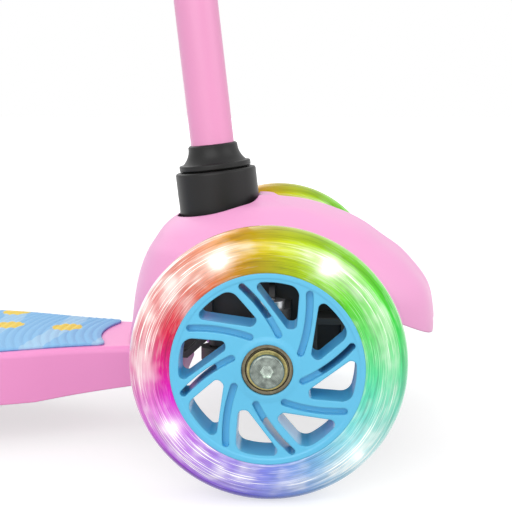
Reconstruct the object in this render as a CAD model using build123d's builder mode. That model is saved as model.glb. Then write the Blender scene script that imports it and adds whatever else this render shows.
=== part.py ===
from build123d import *
from math import cos, radians, sin, tan
import os

os.makedirs("parts", exist_ok=True)

# Driving dimensions in millimetres: X forward, Y to the rider's left, Z up.
# The origin is on the floor under the middle of the scooter.
FRONT_AXLE_X = 201.0
REAR_AXLE_X = -239.0
TRACK = 210.0
FRONT_WHEEL_R = 60.0
REAR_WHEEL_R = 40.0
TYRE_WIDTH = 24.0
FRONT_CORE_R = 41.4
REAR_CORE_R = 27.0
CORE_FACE = 11.2
RUNNING_FIT = 0.05

# Ball bearing 608: bore, outside and width are the standard ones.
BEARING_BORE_R = 4.0
BEARING_R = 11.0
BEARING_WIDTH = 7.0
BEARING_STOP = 3.2
BEARING_FACE = BEARING_STOP + BEARING_WIDTH
AXLE_R = BEARING_BORE_R - RUNNING_FIT

# The column leans on a level pin along X and is raked back in the side view.
LEAN_X = FRONT_AXLE_X - 24.5
LEAN_Z = 80.0
STEM_RAKE = radians(6.41)
LEAN_PIN_R = 5.0
HEAD_BARREL_R = 11.0
HEAD_REAR_X = FRONT_AXLE_X - 55.2
HEAD_FRONT_X = FRONT_AXLE_X + 0.2
COLLAR_R = 20.75
COLLAR_TOP = 56.3

# Lever, tie rod and knuckle arms are equally long, so the wheels turn by the angle of lean.
LINK_LENGTH = 24.5
LINK_X = FRONT_AXLE_X - LINK_LENGTH
TIE_ROD_Z = LEAN_Z - LINK_LENGTH
TIE_ROD_THICKNESS = 6.0
KINGPIN_Y = 66.0
KINGPIN_R = 4.0
KNUCKLE_R = 9.0
KNUCKLE_LOW_Z = 49.3
KNUCKLE_HIGH_Z = 71.7
LUG_THICKNESS = 5.0
LOWER_LUG_Z = 44.0
UPPER_LUG_Z = 72.0

# Tubes of the T-bar, with lengths measured up the stem from the lean pin.
LOWER_TUBE_R = 11.1
LOWER_TUBE_BORE_R = 9.9
LOWER_TUBE_FOOT = 18.0
LOWER_TUBE_TOP = 322.0
UPPER_TUBE_R = 9.0
UPPER_TUBE_BORE_R = 7.6
UPPER_TUBE_FOOT = 152.0
BAR_HEIGHT = 543.0
BAR_R = 9.5
BAR_BORE_R = 8.0
BAR_HALF = 118.0
GRIP_START = 42.0
GRIP_END = 130.0

# Deck: a hollow moulding that narrows to a neck in front and to a fork at the rear wheel.
DECK_TOP = 49.0
DECK_BOTTOM = 23.0
DECK_SKIN = 4.0
DECK_WALL = 3.2
DECK_HALF = 57.0
DECK_FRONT_X = FRONT_AXLE_X - 45.0
NECK_X = FRONT_AXLE_X - 97.0
NECK_HALF = 35.0
NECK_END_HALF = 28.0
NECK_SLOPE = tan(radians(7.0))
FORK_HALF = 33.0
FORK_SLOT_HALF = 17.0
FORK_ROOT_X = REAR_AXLE_X + 46.0
FORK_END_X = REAR_AXLE_X - 15.0
FORK_CORNER = 8.0
NECK_CORNER = 6.0
MAT_THICKNESS = 2.0
MAT_RECESS = 1.4
MAT_MARGIN = 4.0
MAT_CORNER = 10.0
MAT_FRONT_CORNER = 4.0

# Hood: level sections as (height, rear end, front end, half width), X measured from the front axle.
HOOD_WALL = 3.0
HOOD_BLUNTNESS = 2.8
HOOD_LEVELS = [
    (50.0, -75.0, 79.8, 56.0),
    (55.0, -74.2, 82.0, 57.0),
    (63.0, -72.9, 82.4, 58.0),
    (71.0, -71.9, 81.2, 58.5),
    (77.0, -70.9, 79.3, 58.5),
    (84.0, -69.3, 74.8, 58.0),
    (91.0, -67.0, 68.8, 56.5),
    (98.5, -63.3, 60.0, 54.0),
    (104.4, -59.4, 52.0, 50.5),
    (108.7, -55.9, 45.8, 46.5),
    (112.0, -51.5, 39.0, 42.0),
    (116.0, -45.0, 28.0, 35.0),
    (119.4, -38.0, 14.0, 27.0),
    (121.2, -30.0, 3.0, 18.0),
    (122.0, -25.0, -9.0, 7.0),
]

# Rear brake: a fender round the wheel, hinged ahead of it.
BRAKE_HINGE_X = REAR_AXLE_X + 46.0
BRAKE_HINGE_Z = 60.0
BRAKE_PIN_R = 2.5
FENDER_IN_R = 47.0
FENDER_OUT_R = 51.0
FENDER_TAIL = 152.0

STEM = Plane(
    origin=(LEAN_X, 0, LEAN_Z),
    x_dir=(cos(STEM_RAKE), 0, sin(STEM_RAKE)),
    z_dir=(-sin(STEM_RAKE), 0, cos(STEM_RAKE)),
)
STEM_SECTION = Plane(origin=STEM.origin, x_dir=STEM.x_dir, z_dir=(0, -1, 0))
STEM_AXIS = Axis(STEM.origin, STEM.z_dir)
LEAN_AXIS = Axis((LEAN_X, 0, LEAN_Z), (1, 0, 0))
SIDES = (("left", 1), ("right", -1))


def write_piece(piece, name):
    """Label a finished piece and write it to its own file."""
    piece.label = name
    export_step(piece, f"parts/{name}.step")


def polar(radius, degrees):
    """Point at a radius and an angle."""
    return (radius * cos(radians(degrees)), radius * sin(radians(degrees)))


def ahead(x, z):
    """Point of the side view, with X measured from the front axle."""
    return (FRONT_AXLE_X + x, z)


def side_plane(y):
    """Side view plane at Y: local x is X, local y is Z, and a negative extrusion goes to the left."""
    return Plane(origin=(0, y, 0), x_dir=(1, 0, 0), z_dir=(0, -1, 0))


def across_plane(x, z=0.0):
    """Plane square to X at x: local x is Y, local y is Z, extruded forward."""
    return Plane(origin=(x, 0, z), x_dir=(0, 1, 0), z_dir=(1, 0, 0))


def axle_plane(x, y, z, side):
    """Plane square to an axle, facing outward on the left (side 1) or the right (side -1)."""
    return Plane(origin=(x, side * y, z), x_dir=(-side, 0, 0), z_dir=(0, side, 0))


def stem_point(x, y, along):
    """Place on the stem: x ahead of its axis, y to the left, and a length up from the lean pin."""
    return STEM.from_local_coords((x, y, along))


def mirrored(points):
    """Close a half section of radius and offset pairs with its mirror image."""
    return points + [(radius, -offset) for radius, offset in reversed(points)]


# Wheels. The spoked core has leaning windows, and slots down the middle of the spokes.
WINDOW_COUNT = 8
WINDOW_START = 68.8
WINDOW_SPAN = 30.7
HUB_FACE = CORE_FACE + 0.1
SPOKE_DIP = 0.3
BACK_DIP = 4.0
SLOT_WIDTH = 3.0
SLOT_DEPTH = 3.5
SLOT_START = 27.5
SLOT_PATH = ThreePointArc(polar(15.8, 0), polar(26.1, 21.7), polar(37.0, 34.0))
OPEN_SLOT_PATH = SLOT_PATH.trim(0.36, 1.0)
LED_COUNT = 4
LED_START = 60.0
LED_DEPTH = 5.0
LED_LENGTH = 9.0
LED_WIDTH = 10.0


def wheel_window(inner, outer, corner, shoulder):
    """One window between two spokes, leaning back towards the rim, with one full shoulder at the rim."""
    with BuildSketch() as window:
        with BuildLine():
            rim = CenterArc((0, 0), outer, WINDOW_START, WINDOW_SPAN)
            Polyline(rim @ 1, polar(inner, 64.5), polar(1.1 * inner, 55.0), rim @ 0)
        make_face()
        fillet(window.vertices().sort_by_distance(rim @ 0)[1:], corner)
        fillet(window.vertices().sort_by_distance(rim @ 0)[0], shoulder)
    return window.sketch


def core_half(core_radius, dip):
    """Half section of a core from its middle to its rim, with the spokes a dip below the rim."""
    return [
        (9.5, 0),
        (9.5, BEARING_STOP),
        (BEARING_R, BEARING_STOP),
        (BEARING_R, HUB_FACE),
        (12.4, HUB_FACE),
        (14.5, CORE_FACE - dip),
        (core_radius - 2.6, CORE_FACE - dip),
        (core_radius - 2.0, CORE_FACE),
        (core_radius, CORE_FACE),
    ]


def make_wheel(name, centre, side, tyre_radius, core_radius, window, slotted):
    """Tyre, core, bearings and lights of one wheel, each as a piece of its own."""
    x, y, z = centre
    section = Plane(origin=centre)
    axle = Axis(centre, (0, 1, 0))
    face = axle_plane(x, abs(y), z, side)
    shoulder = tyre_radius - TYRE_WIDTH / 2 + 2.0
    led_radius = core_radius + 0.8

    with BuildSketch(face) as led_pockets:
        with PolarLocations(led_radius, LED_COUNT, start_angle=LED_START):
            Rectangle(LED_DEPTH, LED_LENGTH)

    with BuildPart() as tyre:
        with BuildSketch(section):
            with BuildLine():
                crown = EllipticalCenterArc(
                    (shoulder, 0), tyre_radius - shoulder, TYRE_WIDTH / 2, -90, arc_size=180
                )
                Polyline(crown @ 1, (core_radius, CORE_FACE), (core_radius, -CORE_FACE), crown @ 0)
            make_face()
        revolve(axis=axle)
        extrude(led_pockets.sketch, amount=LED_WIDTH / 2, both=True, mode=Mode.SUBTRACT)
    write_piece(tyre.part, f"{name}_tyre")

    outer_half = [(radius, side * offset) for radius, offset in core_half(core_radius, SPOKE_DIP)]
    inner_half = [(radius, -side * offset) for radius, offset in core_half(core_radius, BACK_DIP)]
    with BuildPart() as core:
        with BuildSketch(section):
            with BuildLine():
                Polyline(outer_half + inner_half[:0:-1], close=True)
            make_face()
        revolve(axis=axle)
        with BuildSketch(face):
            with PolarLocations(0, WINDOW_COUNT):
                add(window)
        extrude(amount=TYRE_WIDTH, both=True, mode=Mode.SUBTRACT)
        if slotted:
            with BuildSketch(face):
                with PolarLocations(0, WINDOW_COUNT // 2, start_angle=SLOT_START + 45.0):
                    SlotArc(OPEN_SLOT_PATH, SLOT_WIDTH)
            extrude(amount=TYRE_WIDTH, both=True, mode=Mode.SUBTRACT)
            with BuildSketch(face.offset(CORE_FACE - SPOKE_DIP - SLOT_DEPTH)):
                with PolarLocations(0, WINDOW_COUNT, start_angle=SLOT_START):
                    SlotArc(SLOT_PATH, SLOT_WIDTH)
            extrude(amount=2 * SLOT_DEPTH, mode=Mode.SUBTRACT)
        extrude(led_pockets.sketch, amount=LED_WIDTH / 2, both=True, mode=Mode.SUBTRACT)
    write_piece(core.part, f"{name}_core")

    half = BEARING_WIDTH / 2
    race = [
        (BEARING_BORE_R, half),
        (6.0, half),
        (6.2, half - 0.5),
        (9.2, half - 0.5),
        (9.4, half),
        (BEARING_R, half),
    ]
    with BuildPart() as bearings:
        for end in (1, -1):
            with BuildSketch(Plane(origin=(x, y + end * (BEARING_STOP + half), z))):
                with BuildLine():
                    Polyline(mirrored(race), close=True)
                make_face()
            revolve(axis=axle)
    write_piece(bearings.part, f"{name}_bearings")

    with BuildPart() as led_modules:
        extrude(led_pockets.sketch, amount=LED_WIDTH / 2, both=True)
    write_piece(led_modules.part, f"{name}_led_modules")


front_window = wheel_window(19.5, 37.6, 2.2, 5.0)
rear_window = wheel_window(15.6, 24.2, 1.2, 2.4)
for label, side in SIDES:
    front_centre = (FRONT_AXLE_X, side * TRACK / 2, FRONT_WHEEL_R)
    make_wheel(f"{label}_wheel", front_centre, side, FRONT_WHEEL_R, FRONT_CORE_R, front_window, True)
rear_centre = (REAR_AXLE_X, 0, REAR_WHEEL_R)
make_wheel("rear_wheel", rear_centre, -1, REAR_WHEEL_R, REAR_CORE_R, rear_window, False)

# Axle bolts, captive nuts, spacers and knuckles of the two front wheels.
WASHER_R = 8.6
WASHER_THICKNESS = 1.0
SPACER_R = 6.5
SPACER_GAP = 0.2
BOLT_HEAD_R = 7.4
BOLT_HEAD_HEIGHT = 3.0
BOLT_SOCKET_R = 2.5
BOLT_SOCKET_DEPTH = 2.2
KNUCKLE_BOSS_R = 10.0
KNUCKLE_BOSS_END = 90.0
AXLE_TIP_Y = 76.5
NUT_R = 6.5
NUT_THICKNESS = 6.5
NUT_Y = 78.0
ARM_WIDTH = 9.0
ARM_LOW_Z = TIE_ROD_Z + TIE_ROD_THICKNESS / 2 + 0.7
ARM_HIGH_Z = 65.0
ARM_PIN_R = 3.0
ARM_PIN_LOW_Z = 51.5
WHEEL_Y = TRACK / 2
WASHER_Y = WHEEL_Y + BEARING_FACE + SPACER_GAP
HEAD_Y = WASHER_Y + WASHER_THICKNESS

for label, side in SIDES:
    kingpin = (FRONT_AXLE_X, side * KINGPIN_Y)
    arm_end = (LINK_X, side * KINGPIN_Y)
    outward = Axis((FRONT_AXLE_X, 0, FRONT_WHEEL_R), (0, side, 0))

    with BuildPart() as axle_bolt:
        with BuildSketch(axle_plane(FRONT_AXLE_X, AXLE_TIP_Y, FRONT_WHEEL_R, side)):
            Circle(AXLE_R)
        extrude(amount=HEAD_Y - AXLE_TIP_Y)
        with BuildSketch(axle_plane(FRONT_AXLE_X, HEAD_Y, FRONT_WHEEL_R, side)):
            Circle(BOLT_HEAD_R)
        extrude(amount=BOLT_HEAD_HEIGHT)
        fillet(axle_bolt.edges().filter_by(GeomType.CIRCLE).sort_by(outward)[-1], 1.2)
        with BuildSketch(axle_plane(FRONT_AXLE_X, HEAD_Y + BOLT_HEAD_HEIGHT, FRONT_WHEEL_R, side)):
            RegularPolygon(BOLT_SOCKET_R, 6, major_radius=False)
        extrude(amount=-BOLT_SOCKET_DEPTH, mode=Mode.SUBTRACT)
    write_piece(axle_bolt.part, f"{label}_axle_bolt")

    rings = (
        (WASHER_Y, WASHER_THICKNESS, WASHER_R),
        (WHEEL_Y - BEARING_STOP + SPACER_GAP, 2 * (BEARING_STOP - SPACER_GAP), SPACER_R),
        (KNUCKLE_BOSS_END, WHEEL_Y - BEARING_FACE - SPACER_GAP - KNUCKLE_BOSS_END, SPACER_R),
    )
    with BuildPart() as axle_spacers:
        for ring_y, ring_length, ring_radius in rings:
            with BuildSketch(axle_plane(FRONT_AXLE_X, ring_y, FRONT_WHEEL_R, side)):
                Circle(ring_radius)
                Circle(BEARING_BORE_R, mode=Mode.SUBTRACT)
            extrude(amount=ring_length)
    write_piece(axle_spacers.part, f"{label}_axle_spacers")

    with BuildPart() as axle_nut:
        with BuildSketch(axle_plane(FRONT_AXLE_X, NUT_Y, FRONT_WHEEL_R, side)):
            RegularPolygon(NUT_R, 6, major_radius=False, rotation=30)
            Circle(BEARING_BORE_R, mode=Mode.SUBTRACT)
        extrude(amount=NUT_THICKNESS)
    write_piece(axle_nut.part, f"{label}_axle_nut")

    with BuildPart() as knuckle:
        with BuildSketch(Plane.XY.offset(KNUCKLE_LOW_Z)):
            with Locations(kingpin):
                Circle(KNUCKLE_R)
        extrude(amount=KNUCKLE_HIGH_Z - KNUCKLE_LOW_Z)
        with BuildSketch(axle_plane(FRONT_AXLE_X, KINGPIN_Y, FRONT_WHEEL_R, side)):
            Circle(KNUCKLE_BOSS_R)
        extrude(amount=KNUCKLE_BOSS_END - KINGPIN_Y)
        with BuildSketch(Plane.XY.offset(ARM_LOW_Z)):
            with Locations((FRONT_AXLE_X - LINK_LENGTH / 2, side * KINGPIN_Y)):
                Rectangle(LINK_LENGTH, ARM_WIDTH)
            with Locations(arm_end):
                Circle(ARM_WIDTH / 2)
        extrude(amount=ARM_HIGH_Z - ARM_LOW_Z)
        with BuildSketch(Plane.XY.offset(ARM_PIN_LOW_Z)):
            with Locations(arm_end):
                Circle(ARM_PIN_R)
        extrude(amount=ARM_LOW_Z - ARM_PIN_LOW_Z)
        with BuildSketch(Plane.XY.offset(KNUCKLE_LOW_Z)):
            with Locations(kingpin):
                Circle(KINGPIN_R + RUNNING_FIT)
        extrude(amount=KNUCKLE_HIGH_Z - KNUCKLE_LOW_Z, mode=Mode.SUBTRACT)
        with BuildSketch(axle_plane(FRONT_AXLE_X, AXLE_TIP_Y - 1.0, FRONT_WHEEL_R, side)):
            Circle(BEARING_BORE_R)
        extrude(amount=KNUCKLE_BOSS_END - AXLE_TIP_Y + 1.0, mode=Mode.SUBTRACT)
        with BuildSketch(axle_plane(FRONT_AXLE_X, NUT_Y, FRONT_WHEEL_R, side)):
            RegularPolygon(NUT_R, 6, major_radius=False, rotation=30)
            with Locations((0, KNUCKLE_BOSS_R / 2)):
                Rectangle(2 * NUT_R, KNUCKLE_BOSS_R)
        extrude(amount=NUT_THICKNESS, mode=Mode.SUBTRACT)
    write_piece(knuckle.part, f"{label}_knuckle")

# Tie rod: a flat bar with an eye for the lever's ball and a short slot for each knuckle pin.
TIE_ROD_WIDTH = 9.0
TIE_EYE_R = 8.0
BALL_EYE_R = 9.5
BALL_R = 4.5
BALL_HOLE_R = 4.9
PIN_SLOT_LENGTH = 7.8
PIN_SLOT_WIDTH = 6.8

with BuildPart() as tie_rod:
    with BuildSketch(Plane.XY.offset(TIE_ROD_Z - TIE_ROD_THICKNESS / 2)):
        with Locations((LINK_X, 0)):
            Rectangle(TIE_ROD_WIDTH, 2 * KINGPIN_Y)
            Circle(BALL_EYE_R)
            Circle(BALL_HOLE_R, mode=Mode.SUBTRACT)
        for label, side in SIDES:
            with Locations((LINK_X, side * KINGPIN_Y)):
                Circle(TIE_EYE_R)
                SlotOverall(PIN_SLOT_LENGTH, PIN_SLOT_WIDTH, mode=Mode.SUBTRACT)
    extrude(amount=TIE_ROD_THICKNESS)
write_piece(tie_rod.part, "tie_rod")

# Front subframe: the black moulding that carries the lean pin and the kingpins.
WALL_Y = 42.0
WALL_THICKNESS = 4.0
WALL_OUTER_Y = WALL_Y + WALL_THICKNESS
RIB = 3.0
FRONT_RIB_Y = 64.0
REAR_RIB_Y = 52.0
TOP_RIB_Y = 54.0
FLOOR_THICKNESS = 4.0
CROSS_FRONT_X = FRONT_AXLE_X + 2.0
CROSS_REAR_X = FRONT_AXLE_X - 61.0
CROSS_REAR_THICKNESS = 4.0
CROSS_THICKNESS = 5.0
FLANGE_THICKNESS = 4.0
FLANGE_HALF = 33.0
FLANGE_REAR_X = FRONT_AXLE_X - 69.0
FLANGE_REAR_HALF = 22.0
FLANGE_FRONT_X = FRONT_AXLE_X - 44.0
FLANGE_TOP = DECK_TOP + FLANGE_THICKNESS
LINK_PLATE_Y = 28.0
LINK_PLATE_TOP = 70.0
LUG_R = 9.0
TAB_Z = 72.0
TAB_THICKNESS = 3.0
FRONT_POST = (FRONT_AXLE_X + 36.0, 36.0)
REAR_POST = (FRONT_AXLE_X - 65.0, 20.0)
POST_R = 3.5
SCREW_R = 1.6
SCREW_HEAD_R = 3.0
SCREW_HEAD_HEIGHT = 2.0
SUBFRAME_BOLTS = [(FRONT_AXLE_X - 52.0, 18.0), (FRONT_AXLE_X - 52.0, -18.0)]
SUBFRAME_BOLTS += [(FRONT_AXLE_X - 66.3, 10.0), (FRONT_AXLE_X - 66.3, -10.0)]
SUBFRAME_BOLT_R = 3.0

side_wall = [
    ahead(-46, 49), ahead(-40.5, 49), ahead(-25, 63), ahead(-13, 63), ahead(-13, 44), ahead(24, 44),
    ahead(34, 50.5), ahead(46, 63), ahead(46, 76), ahead(10, 90), ahead(-30, 90), ahead(-46, 84),
]
lower_front_rib = [
    ahead(13, 44), ahead(24, 44), ahead(34, 50.5), ahead(46, 63),
    ahead(46, 67), ahead(33, 53.8), ahead(23, 47), ahead(13, 47),
]
lower_rear_rib = [
    ahead(-46, 49), ahead(-40.5, 49), ahead(-25, 63), ahead(-13, 63),
    ahead(-13, 66), ahead(-26, 66), ahead(-41.5, 52), ahead(-46, 52),
]
top_rib = [ahead(-30, 87), ahead(10, 87), ahead(46, 73), ahead(46, 76), ahead(10, 90), ahead(-30, 90)]
upright_ribs = ((20.0, 46.5, 86.0), (34.0, 54.0, 78.0))
rear_upright = (-30.0, 62.0, 88.0)

with BuildPart() as front_subframe:
    with BuildSketch(side_plane(WALL_Y)):
        with BuildLine():
            Polyline(side_wall, close=True)
        make_face()
    extrude(amount=-WALL_THICKNESS)
    for outline, reach in (
        (lower_front_rib, FRONT_RIB_Y), (lower_rear_rib, REAR_RIB_Y), (top_rib, TOP_RIB_Y),
    ):
        with BuildSketch(side_plane(WALL_OUTER_Y)):
            with BuildLine():
                Polyline(outline, close=True)
            make_face()
        extrude(amount=WALL_OUTER_Y - reach)
    for (rib_x, low, high), reach in (
        (upright_ribs[0], FRONT_RIB_Y), (upright_ribs[1], FRONT_RIB_Y), (rear_upright, REAR_RIB_Y),
    ):
        with BuildSketch(side_plane(WALL_OUTER_Y)):
            with Locations(ahead(rib_x, (low + high) / 2)):
                Rectangle(RIB, high - low)
        extrude(amount=WALL_OUTER_Y - reach)
    with BuildSketch(side_plane(WALL_OUTER_Y)):
        with Locations(ahead(29.5, 70.0)):
            Rectangle(33.0, RIB)
    extrude(amount=WALL_OUTER_Y - FRONT_RIB_Y)
    with BuildSketch(Plane.XY.offset(LOWER_LUG_Z)):
        with Locations((FRONT_AXLE_X - 13.0, 0)):
            Rectangle(43.0, WALL_OUTER_Y, align=(Align.MIN, Align.MIN))
    extrude(amount=FLOOR_THICKNESS)
    for lug_z in (LOWER_LUG_Z, UPPER_LUG_Z):
        with BuildSketch(Plane.XY.offset(lug_z)):
            with Locations((FRONT_AXLE_X, WALL_Y)):
                Rectangle(2 * LUG_R, KINGPIN_Y - WALL_Y, align=(Align.CENTER, Align.MIN))
            with Locations((FRONT_AXLE_X, KINGPIN_Y)):
                Circle(LUG_R)
                Circle(KINGPIN_R, mode=Mode.SUBTRACT)
        extrude(amount=LUG_THICKNESS)
    with BuildSketch(across_plane(FRONT_AXLE_X - RIB / 2)):
        with BuildLine():
            Polyline(
                (WALL_OUTER_Y, UPPER_LUG_Z + LUG_THICKNESS), (KINGPIN_Y - 8.0, UPPER_LUG_Z + LUG_THICKNESS),
                (WALL_OUTER_Y, 90.0), close=True,
            )
        make_face()
    extrude(amount=RIB)
    with BuildSketch(across_plane(CROSS_FRONT_X)):
        with BuildLine():
            Polyline((0, LOWER_LUG_Z), (WALL_Y, LOWER_LUG_Z), (WALL_Y, 88), (16, 96), (0, 96), close=True)
        make_face()
    extrude(amount=CROSS_THICKNESS)
    with BuildSketch(across_plane(CROSS_REAR_X)):
        with BuildLine():
            Polyline((0, DECK_TOP), (32, DECK_TOP), (32, LINK_PLATE_TOP), (14, 92), (0, 92), close=True)
        make_face()
    extrude(amount=CROSS_REAR_THICKNESS)
    with BuildSketch(Plane.XY.offset(DECK_TOP)):
        with BuildLine():
            Polyline(
                (FLANGE_REAR_X, 0), (FLANGE_REAR_X, FLANGE_REAR_HALF), (CROSS_REAR_X, FLANGE_HALF),
                (FLANGE_FRONT_X, FLANGE_HALF), (FLANGE_FRONT_X, 0), close=True,
            )
        make_face()
    extrude(amount=FLANGE_THICKNESS)
    with BuildSketch(Plane.XY.offset(DECK_TOP)):
        with Locations((CROSS_REAR_X, LINK_PLATE_Y)):
            Rectangle(FLANGE_FRONT_X - CROSS_REAR_X, WALL_THICKNESS, align=(Align.MIN, Align.MIN))
        with Locations((FRONT_AXLE_X - 46.0, LINK_PLATE_Y)):
            Rectangle(WALL_THICKNESS, WALL_OUTER_Y - LINK_PLATE_Y, align=(Align.MIN, Align.MIN))
    extrude(amount=LINK_PLATE_TOP - DECK_TOP)
    with BuildSketch(Plane.XY.offset(TAB_Z)):
        with Locations((FRONT_POST[0], FRONT_POST[1])):
            Rectangle(12.0, 2 * (WALL_Y - FRONT_POST[1]))
            Circle(SCREW_R, mode=Mode.SUBTRACT)
    extrude(amount=TAB_THICKNESS)
    with BuildSketch(Plane.XY.offset(DECK_TOP)):
        with Locations(REAR_POST):
            Circle(SCREW_R)
        with Locations(SUBFRAME_BOLTS[0], SUBFRAME_BOLTS[2]):
            Circle(SUBFRAME_BOLT_R)
    extrude(amount=FLANGE_THICKNESS, mode=Mode.SUBTRACT)
    with BuildSketch(Plane.XY.offset(DECK_TOP)):
        with Locations(REAR_POST):
            Circle(SCREW_HEAD_R)
    extrude(amount=SCREW_HEAD_HEIGHT, mode=Mode.SUBTRACT)
    with BuildSketch(across_plane(CROSS_REAR_X, LEAN_Z)):
        Circle(LEAN_PIN_R)
    extrude(amount=CROSS_FRONT_X + CROSS_THICKNESS - CROSS_REAR_X, mode=Mode.SUBTRACT)
    mirror(about=Plane.XZ)
write_piece(front_subframe.part, "front_subframe")

# Kingpins and their nuts.
KINGPIN_HEAD_R = 6.5
KINGPIN_HEAD_HEIGHT = 3.5
KINGPIN_NUT_R = 5.5
KINGPIN_NUT_HEIGHT = 5.5
KINGPIN_SPOTS = [(FRONT_AXLE_X, side * KINGPIN_Y) for label, side in SIDES]

with BuildPart() as kingpins:
    with BuildSketch(Plane.XY.offset(LOWER_LUG_Z - KINGPIN_NUT_HEIGHT)):
        with Locations(KINGPIN_SPOTS):
            Circle(KINGPIN_R)
    extrude(amount=UPPER_LUG_Z + LUG_THICKNESS - LOWER_LUG_Z + KINGPIN_NUT_HEIGHT)
    with BuildSketch(Plane.XY.offset(UPPER_LUG_Z + LUG_THICKNESS)):
        with Locations(KINGPIN_SPOTS):
            Circle(KINGPIN_HEAD_R)
    extrude(amount=KINGPIN_HEAD_HEIGHT)
    with BuildSketch(Plane.XY.offset(UPPER_LUG_Z + LUG_THICKNESS + KINGPIN_HEAD_HEIGHT)):
        with Locations(KINGPIN_SPOTS):
            RegularPolygon(BOLT_SOCKET_R, 6, major_radius=False)
    extrude(amount=-BOLT_SOCKET_DEPTH, mode=Mode.SUBTRACT)
write_piece(kingpins.part, "kingpins")

with BuildPart() as kingpin_nuts:
    with BuildSketch(Plane.XY.offset(LOWER_LUG_Z - KINGPIN_NUT_HEIGHT)):
        with Locations(KINGPIN_SPOTS):
            RegularPolygon(KINGPIN_NUT_R, 6, major_radius=False)
            Circle(KINGPIN_R, mode=Mode.SUBTRACT)
    extrude(amount=KINGPIN_NUT_HEIGHT)
write_piece(kingpin_nuts.part, "kingpin_nuts")

# Lean pin with a head at the rear, and the two flanged bushes that run on it.
LEAN_PIN_HEAD_R = 7.0
LEAN_PIN_HEAD = 2.0
BUSH_R = 7.0
BUSH_LENGTH = 12.0
BUSH_FLANGE_R = 9.5
BUSH_FLANGE = 1.5

with BuildPart() as lean_pivot_pin:
    with BuildSketch(across_plane(CROSS_REAR_X, LEAN_Z)):
        Circle(LEAN_PIN_R)
    extrude(amount=CROSS_FRONT_X + CROSS_THICKNESS - CROSS_REAR_X)
    with BuildSketch(across_plane(CROSS_REAR_X, LEAN_Z)):
        Circle(LEAN_PIN_HEAD_R)
    extrude(amount=-LEAN_PIN_HEAD)
write_piece(lean_pivot_pin.part, "lean_pivot_pin")

with BuildPart() as lean_bushes:
    for end_x, inward in ((HEAD_REAR_X, 1), (HEAD_FRONT_X, -1)):
        with BuildSketch(across_plane(end_x, LEAN_Z)):
            Circle(BUSH_R)
            Circle(LEAN_PIN_R + RUNNING_FIT, mode=Mode.SUBTRACT)
        extrude(amount=inward * BUSH_LENGTH)
        with BuildSketch(across_plane(end_x, LEAN_Z)):
            Circle(BUSH_FLANGE_R)
            Circle(LEAN_PIN_R + RUNNING_FIT, mode=Mode.SUBTRACT)
        extrude(amount=-inward * BUSH_FLANGE)
write_piece(lean_bushes.part, "lean_bushes")

# Steering head: a barrel on the lean pin and the collar that takes the stem.
LOCK_SCREW_ALONG = 40.0
LOCK_HEAD_R = 4.6
LOCK_HEAD_DEPTH = 4.0
LOCK_SHANK_R = 2.5
LOCK_TIP = LOWER_TUBE_BORE_R + 0.1
LOCK_FACE = COLLAR_R - 0.6

lock_plane = Plane(origin=stem_point(-COLLAR_R, 0, LOCK_SCREW_ALONG), x_dir=(0, 1, 0), z_dir=STEM.x_dir)
lock_face_plane = lock_plane.offset(COLLAR_R - LOCK_FACE)

with BuildPart() as steering_head:
    with BuildSketch(across_plane(HEAD_REAR_X, LEAN_Z)):
        Circle(HEAD_BARREL_R)
    extrude(amount=HEAD_FRONT_X - HEAD_REAR_X)
    with BuildSketch(STEM.offset(4.0)):
        Circle(COLLAR_R)
    extrude(amount=COLLAR_TOP - 4.0)
    fillet(steering_head.edges().filter_by(GeomType.CIRCLE).sort_by(STEM_AXIS)[-1], 1.4)
    with BuildSketch(STEM.offset(LOWER_TUBE_FOOT)):
        Circle(LOWER_TUBE_R)
    extrude(amount=COLLAR_TOP, mode=Mode.SUBTRACT)
    with BuildSketch(across_plane(HEAD_REAR_X, LEAN_Z)):
        Circle(LEAN_PIN_R + 0.5)
    extrude(amount=HEAD_FRONT_X - HEAD_REAR_X, mode=Mode.SUBTRACT)
    for end_x, inward in ((HEAD_REAR_X, 1), (HEAD_FRONT_X, -1)):
        with BuildSketch(across_plane(end_x, LEAN_Z)):
            Circle(BUSH_R)
        extrude(amount=inward * BUSH_LENGTH, mode=Mode.SUBTRACT)
    with BuildSketch(lock_plane):
        Circle(LOCK_HEAD_R)
    extrude(amount=COLLAR_R - LOCK_FACE + LOCK_HEAD_DEPTH, mode=Mode.SUBTRACT)
    with BuildSketch(lock_plane):
        Circle(LOCK_SHANK_R)
    extrude(amount=COLLAR_R, mode=Mode.SUBTRACT)
write_piece(steering_head.part, "steering_head")

with BuildPart() as stem_lock_screw:
    with BuildSketch(lock_face_plane):
        Circle(LOCK_HEAD_R)
    extrude(amount=LOCK_HEAD_DEPTH)
    with BuildSketch(lock_face_plane):
        Circle(LOCK_SHANK_R)
    extrude(amount=LOCK_FACE - LOCK_TIP)
    with BuildSketch(lock_face_plane):
        RegularPolygon(BOLT_SOCKET_R, 6, major_radius=False)
    extrude(amount=BOLT_SOCKET_DEPTH, mode=Mode.SUBTRACT)
write_piece(stem_lock_screw.part, "stem_lock_screw")

# Slot shield: part of a cone round the lean pin, so it fills the hood's opening at every lean.
SHIELD_HALF_ANGLE = 70.0
SHIELD_WALL = 2.5
SHIELD_REAR_R = 25.5
SHIELD_FRONT_R = 36.0
shield_plane = Plane(
    origin=(FRONT_AXLE_X, 0, LEAN_Z),
    x_dir=(1, 0, 0),
    z_dir=(0, -cos(radians(SHIELD_HALF_ANGLE)), sin(radians(SHIELD_HALF_ANGLE))),
)

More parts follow.
